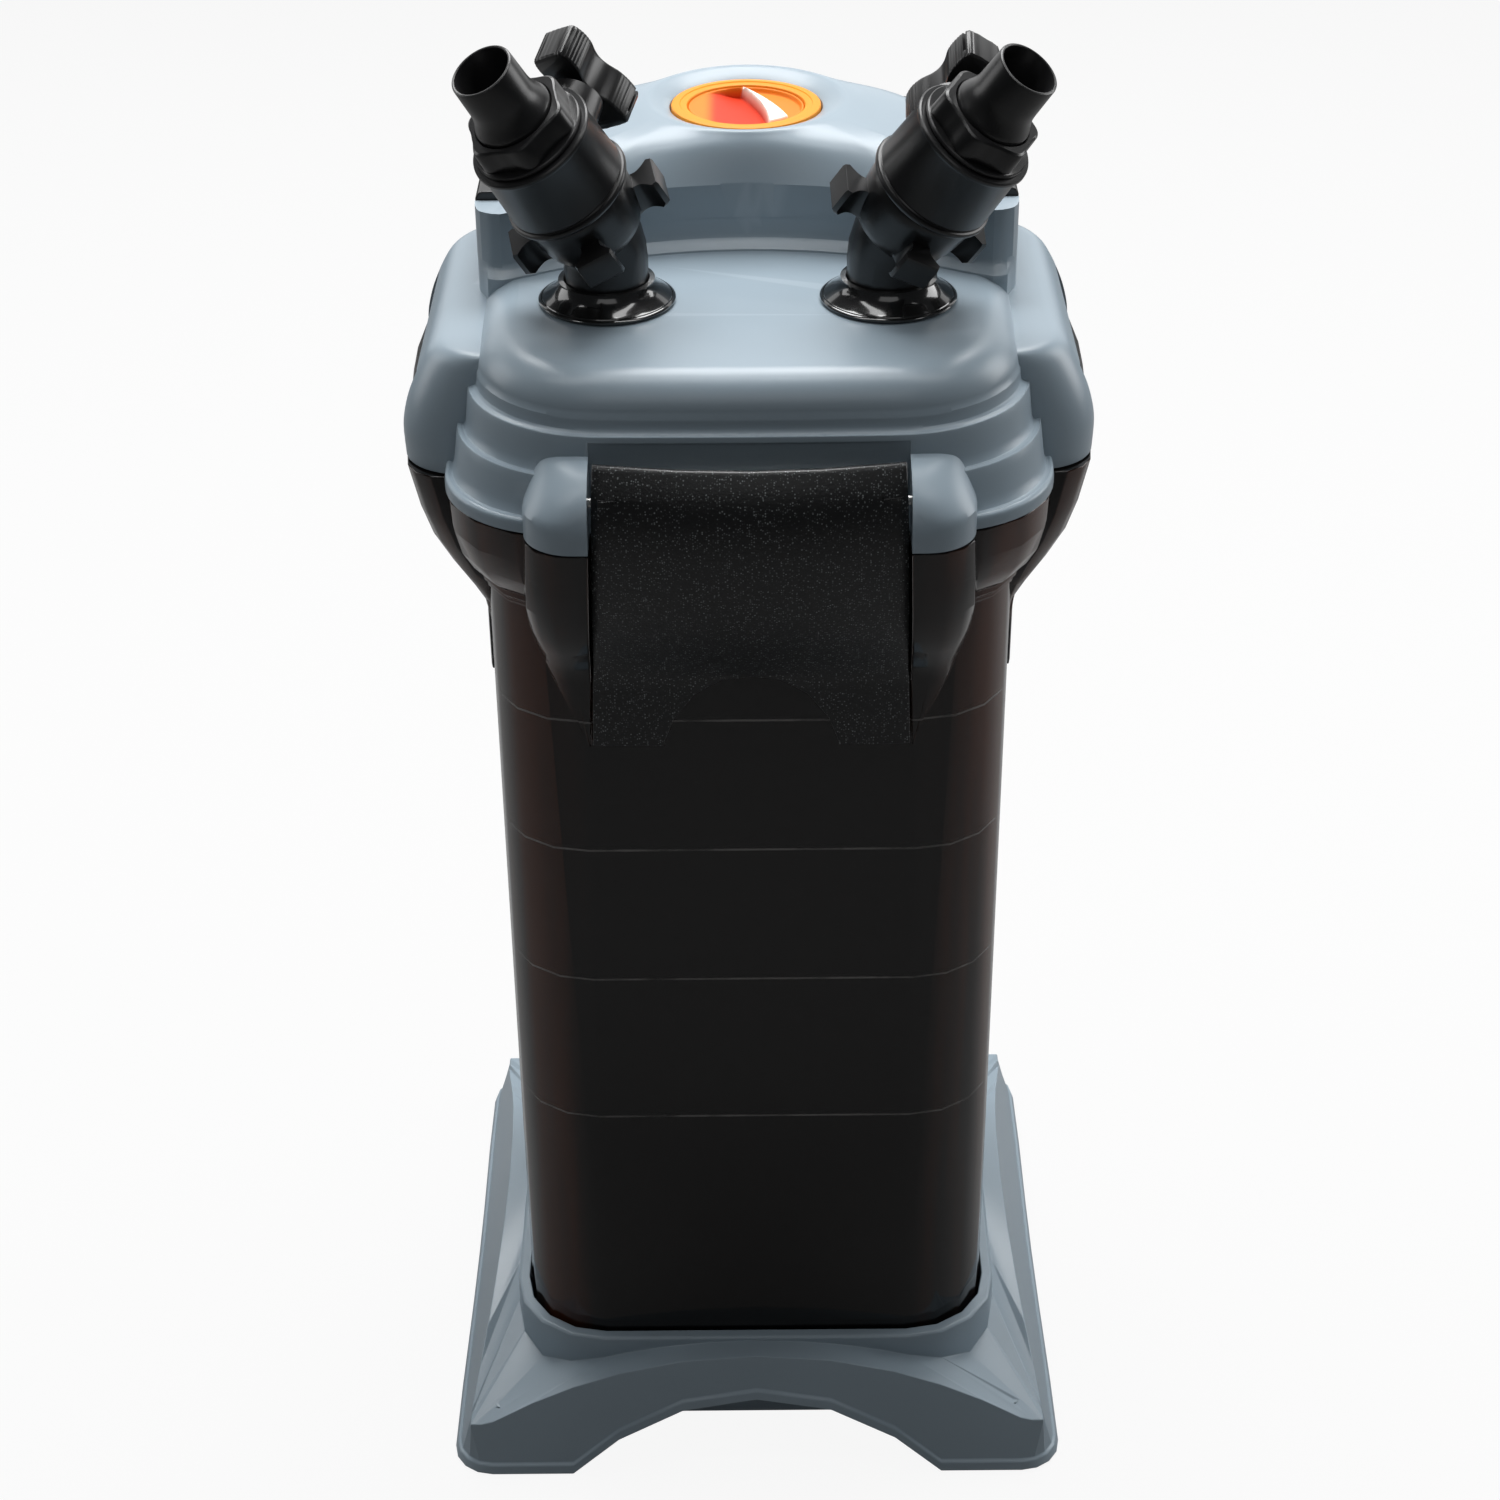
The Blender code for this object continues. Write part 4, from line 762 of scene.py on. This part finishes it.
def flange(side, base):
    """Polished trumpet-shaped rose with a fine groove round its rim."""
    profile = [(13.5, 420.4), (21.3, 420.4), (21.5, 420.7), (21.5, 421.2), (21.2, 421.5), (20.7, 421.7),
               (20.5, 421.5), (20.3, 421.9)]
    steps = 8
    for i in range(steps + 1):
        share = i / steps
        profile.append((20.1 - 4.9 * share, 422.0 + 3.4 * share + 1.6 * share ** 5))
    profile += [(15.1, 427.5), (13.5, 427.6)]
    rose = solid(side + "_flange_rose", spun(profile, 128), Matrix.Translation(base))
    show(rose, POLISHED, side + "_flange")


def union_nut(side, line):
    """Tapered nut with four claws whose necks draw in before they flare to flat ends."""
    cone = [(13.6, 4.6), (14.6, 4.6), (15.0, 4.9), (16.2, 7.4), (17.0, 10.6), (17.6, 14.0), (18.0, 18.0),
            (18.2, 21.4), (17.9, 22.4), (17.3, 22.9), (13.6, 22.9)]
    claws = 4
    steps = 8
    neck = []
    for step in range(steps + 1):
        u = step / steps
        neck.append((15.0 + 8.8 * u, 4.6 + 1.6 * u - 2.3 * math.sin(math.pi * u)))
    plan = [(r, -t) for r, t in neck] + [(25.4, -5.6), (25.4, 5.6)] + list(reversed(neck))
    stack = [[(r * k, t * k, s) for r, t in plan]
             for s, k in ((5.6, 0.95), (6.8, 1.0), (14.6, 1.0), (15.6, 0.985))]
    nut = solid(side + "_claw_nut", spun(cone), line)
    for i in range(claws):
        turn = Matrix.Rotation(math.radians(360.0 / claws * i), 4, "Z")
        joined(nut, solid("claw", lofted(stack), line @ turn))
    rounded_off(nut, 0.0005)
    show(nut, BLACK, side + "_union_nut")


def valve_body(side, line, stem):
    """Barrel with a bead round its foot and a thin rim at its head, a ball seat, and a boss for the stem."""
    seat, spread, steps = 13.3, 50.3, 8
    barrel = [(8.5, 23.4), (19.2, 23.4), (19.9, 23.7), (20.2, 24.3), (20.2, 25.0), (19.9, 25.5),
              (19.3, 25.7), (19.0, 26.1), (19.3, 26.6), (19.2, 28.0), (18.5, 45.4), (18.7, 46.0),
              (19.3, 46.3), (19.5, 46.8), (19.4, 47.6), (19.0, 48.0), (8.5, 48.0)]
    for i in range(steps + 1):
        turn = math.radians(spread - 2 * spread * i / steps)
        barrel.append((seat * math.cos(turn), BALL + seat * math.sin(turn)))
    body = solid(side + "_barrel", spun(barrel), line)
    boss = spun([(0.0, 15.0), (9.2, 15.0), (8.6, 25.6), (0.0, 25.6)], 48)
    bore = spun([(0.0, 6.0), (5.5, 6.0), (5.5, 30.0), (0.0, 30.0)], 48)
    joined(body, solid("boss", boss, stem))
    joined(body, solid("bore", bore, stem), "DIFFERENCE")
    show(body, BLACK, side + "_valve_body")


def cap_nut(side, line):
    """Six-lobed nut over a thin washer: hollow flats between narrow ridges."""
    lobes = 6
    steps = 120
    # height, middle radius, and half the height of the lobes
    rings = ((48.3, 14.2, 0.0), (48.3, 17.3, 0.0), (48.6, 17.6, 0.0), (49.5, 17.6, 0.0), (49.8, 17.3, 0.0),
             (49.9, 16.0, 1.0), (56.6, 15.7, 1.0), (57.2, 15.4, 0.95), (57.6, 14.8, 0.8),
             (57.6, 13.1, 0.0), (57.3, 12.8, 0.0), (52.2, 12.8, 0.0), (52.2, 14.2, 0.0))
    stack = []
    for height, mean, wave in rings:
        outline = []
        for i in range(steps):
            turn = 2 * math.pi * i / steps
            ridge = (0.5 + 0.5 * math.cos(lobes * turn)) ** 1.6
            radius = mean + wave * (2.0 * ridge - 1.0)
            outline.append((radius * math.cos(turn), radius * math.sin(turn), height))
        stack.append(outline)
    show(solid(side + "_lobed_nut", lofted(stack, ring=True), line, 28.0), BLACK, side + "_cap_nut")


def hose_tail(side, line):
    """Plain spigot with a soft lip, on a conical foot that sits under the nut."""
    tail = [(8.8, 48.6), (13.9, 48.6), (13.9, 51.8), (12.5, 51.8), (12.5, 58.2), (12.3, 58.9), (11.9, 59.6),
            (10.9, 62.0), (10.4, 63.6), (10.2, 65.6), (9.95, 76.0), (9.8, 76.4), (9.4, 76.6), (9.0, 76.5),
            (8.8, 76.1)]
    show(solid(side + "_spigot", spun(tail), line), BLACK, side + "_hose_tail")


def wing_handle(side, stem):
    """Two ribbed lobes about a waist, with a slot that leaves a thin spring tab at one end."""
    half = [(-15.8, 3.4), (-15.2, 5.9), (-11.6, 7.0), (-7.6, 6.6), (-3.4, 4.9), (0.0, 4.3), (3.4, 4.9),
            (7.6, 6.6), (12.0, 7.0), (16.0, 6.4), (17.4, 4.4)]
    knots = [Vector(p) for p in half + [(x, -y) for x, y in reversed(half)]]
    steps = 10
    rib, rib_height = 1.2, 0.16
    waist, fade = 7.0, 1.5
    outline = []
    run = 0.0
    for i in range(len(knots)):
        a, b, c, d = (knots[(i + k) % len(knots)] for k in (-1, 0, 1, 2))
        for step in range(steps):
            u = step / steps
            spot = between(a, b, c, d, u)
            way = 0.5 * ((c - a) + 2 * (2 * a - 5 * b + 4 * c - d) * u + 3 * (3 * b - a - 3 * c + d) * u ** 2)
            if outline:
                run += (spot - outline[-1][0]).length
            outline.append((spot, Vector((way.y, -way.x)).normalized(), run))
    pitch = run / round(run / rib)
    ribbed = []
    for spot, out, along in outline:
        grip = min(1.0, max(0.0, (abs(spot.x) - waist) / fade))
        ribbed.append(spot + out * rib_height * grip * (0.5 + 0.5 * math.cos(2 * math.pi * along / pitch)))
    # height along the stem, and the share of the outline's size there
    levels = ((28.0, 0.93), (28.3, 0.975), (28.9, 1.0), (38.6, 1.0), (39.5, 0.99), (40.0, 0.96), (40.2, 0.92))
    stack = [[(p.x * k, p.y * k, h) for p in ribbed] for h, k in levels]
    wing = solid(side + "_wing", lofted(stack), stem)
    slot = bmesh.new()
    slot_at = Matrix.Translation(Vector((15.2, 0.0, 40.5)) * MILL)
    slot_size = Matrix.Diagonal((1.2 * MILL, 18.0 * MILL, 19.0 * MILL, 1.0))
    bmesh.ops.create_cube(slot, size=1.0, matrix=slot_at @ slot_size)
    joined(wing, solid("slot", slot, stem), "DIFFERENCE")
    show(wing, BLACK, side + "_valve_handle")


for side, (clock, bar) in TAPS.items():
    union, valve = JOINTS[side + "_union_turn"], JOINTS[side + "_valve_turn"]
    axis = Vector(union["axis"]).normalized()
    bend = Vector(union["pos_m"]) - axis * UNION * MILL
    line = stood(bend, axis, (0, 0, 1)) @ Matrix.Rotation(math.radians(clock), 4, "Z")
    stem = stood(bend + axis * BALL * MILL, valve["axis"], bar)
    flange(side, Vector((bend.x, bend.y, 0.0)))
    mould(BLACK, side + "_riser", 40.0, 0.0)
    union_nut(side, line)
    valve_body(side, line, stem)
    cap_nut(side, line)
    hose_tail(side, line)
    wing_handle(side, stem)
    dress(BLACK, side + "_valve_ball")

# ---- Studio: a pale floor that the camera sees as near white, a dim cool world, soft boxes overhead, behind,
# at both sides and in front, and the camera in front, looking down on the taps.
def pale_floor():
    """A wide grey sheet, which glows for the camera alone, so its light on the filter stays low."""
    mat = bpy.data.materials.new("pale_floor")
    mat.use_nodes = True
    tree = mat.node_tree
    shader = tree.nodes["Principled BSDF"]
    shader.inputs["Base Color"].default_value = (0.26, 0.26, 0.26, 1.0)
    shader.inputs["Roughness"].default_value = 0.9
    glow = tree.nodes.new("ShaderNodeEmission")
    glow.inputs["Strength"].default_value = 1.08
    rays = tree.nodes.new("ShaderNodeLightPath")
    seen = tree.nodes.new("ShaderNodeMath")
    seen.operation = "MULTIPLY"
    seen.inputs[1].default_value = 0.85
    blend = tree.nodes.new("ShaderNodeMixShader")
    link = tree.links.new
    link(rays.outputs["Is Camera Ray"], seen.inputs[0])
    link(seen.outputs[0], blend.inputs["Fac"])
    link(shader.outputs["BSDF"], blend.inputs[1])
    link(glow.outputs["Emission"], blend.inputs[2])
    link(blend.outputs["Shader"], tree.nodes["Material Output"].inputs["Surface"])
    bm = bmesh.new()
    bmesh.ops.create_grid(bm, x_segments=1, y_segments=1, size=4.0)
    mesh = bpy.data.meshes.new("floor")
    bm.to_mesh(mesh)
    bm.free()
    mesh.materials.append(mat)
    sheet = bpy.data.objects.new("floor", mesh)
    bpy.context.scene.collection.objects.link(sheet)
    return sheet


def dim_world():
    """A faint cool light from all round, which is white where the camera sees it."""
    world = bpy.data.worlds.new("studio")
    world.use_nodes = True
    tree = world.node_tree
    rays = tree.nodes.new("ShaderNodeLightPath")
    dim = tree.nodes["Background"]
    dim.inputs["Color"].default_value = (0.82, 0.86, 0.90, 1.0)
    dim.inputs["Strength"].default_value = 0.06
    white = tree.nodes.new("ShaderNodeBackground")
    white.inputs["Color"].default_value = (1.0, 1.0, 1.0, 1.0)
    blend = tree.nodes.new("ShaderNodeMixShader")
    link = tree.links.new
    link(rays.outputs["Is Camera Ray"], blend.inputs["Fac"])
    link(dim.outputs["Background"], blend.inputs[1])
    link(white.outputs["Background"], blend.inputs[2])
    link(blend.outputs["Shader"], tree.nodes["World Output"].inputs["Surface"])
    return world


def softbox(name, where, towards, size, power):
    """A square-cornered lamp at one point, turned towards another."""
    lamp = bpy.data.lights.new(name, "AREA")
    lamp.shape = "RECTANGLE"
    lamp.size, lamp.size_y = size
    lamp.energy = power
    holder = bpy.data.objects.new(name, lamp)
    facing = (Vector(towards) - Vector(where)).to_track_quat("-Z", "Y").to_matrix().to_4x4()
    holder.matrix_world = Matrix.Translation(where) @ facing
    bpy.context.scene.collection.objects.link(holder)


floor = pale_floor()
bpy.context.scene.world = dim_world()
softbox("key", (0.0, 0.62, 1.50), (0.0, 0.0, 0.35), (1.2, 0.7), 24.0)
softbox("back", (0.0, 1.40, 0.90), (0.0, 0.0, 0.40), (2.8, 1.1), 9.0)
softbox("left_strip", (-1.20, 0.40, 0.70), (0.0, 0.0, 0.10), (0.6, 0.8), 3.0)
softbox("right_strip", (1.20, 0.40, 0.70), (0.0, 0.0, 0.10), (0.6, 0.8), 6.0)
for hand in (-1, 1):
    softbox("front_strip_%d" % (hand + 2), (hand * 0.30, -0.10, 1.45), (0.0, 0.0, 0.40), (0.16, 0.9), 2.2)
softbox("front_fill", (0.0, -1.5, 1.5), (0.0, 0.0, 0.25), (1.2, 0.8), 2.2)

lens = bpy.data.cameras.new("camera")
lens.lens = 68.9
lens.sensor_width = 36.0
camera = bpy.data.objects.new("camera", lens)
looking_down, roll = 31.478, -0.478
camera.matrix_world = (Matrix.Translation((-0.0005, -0.8669, 0.7689))
                       @ Matrix.Rotation(math.radians(90.0 - looking_down), 4, "X")
                       @ Matrix.Rotation(math.radians(roll), 4, "Z"))
bpy.context.scene.collection.objects.link(camera)
bpy.context.scene.camera = camera
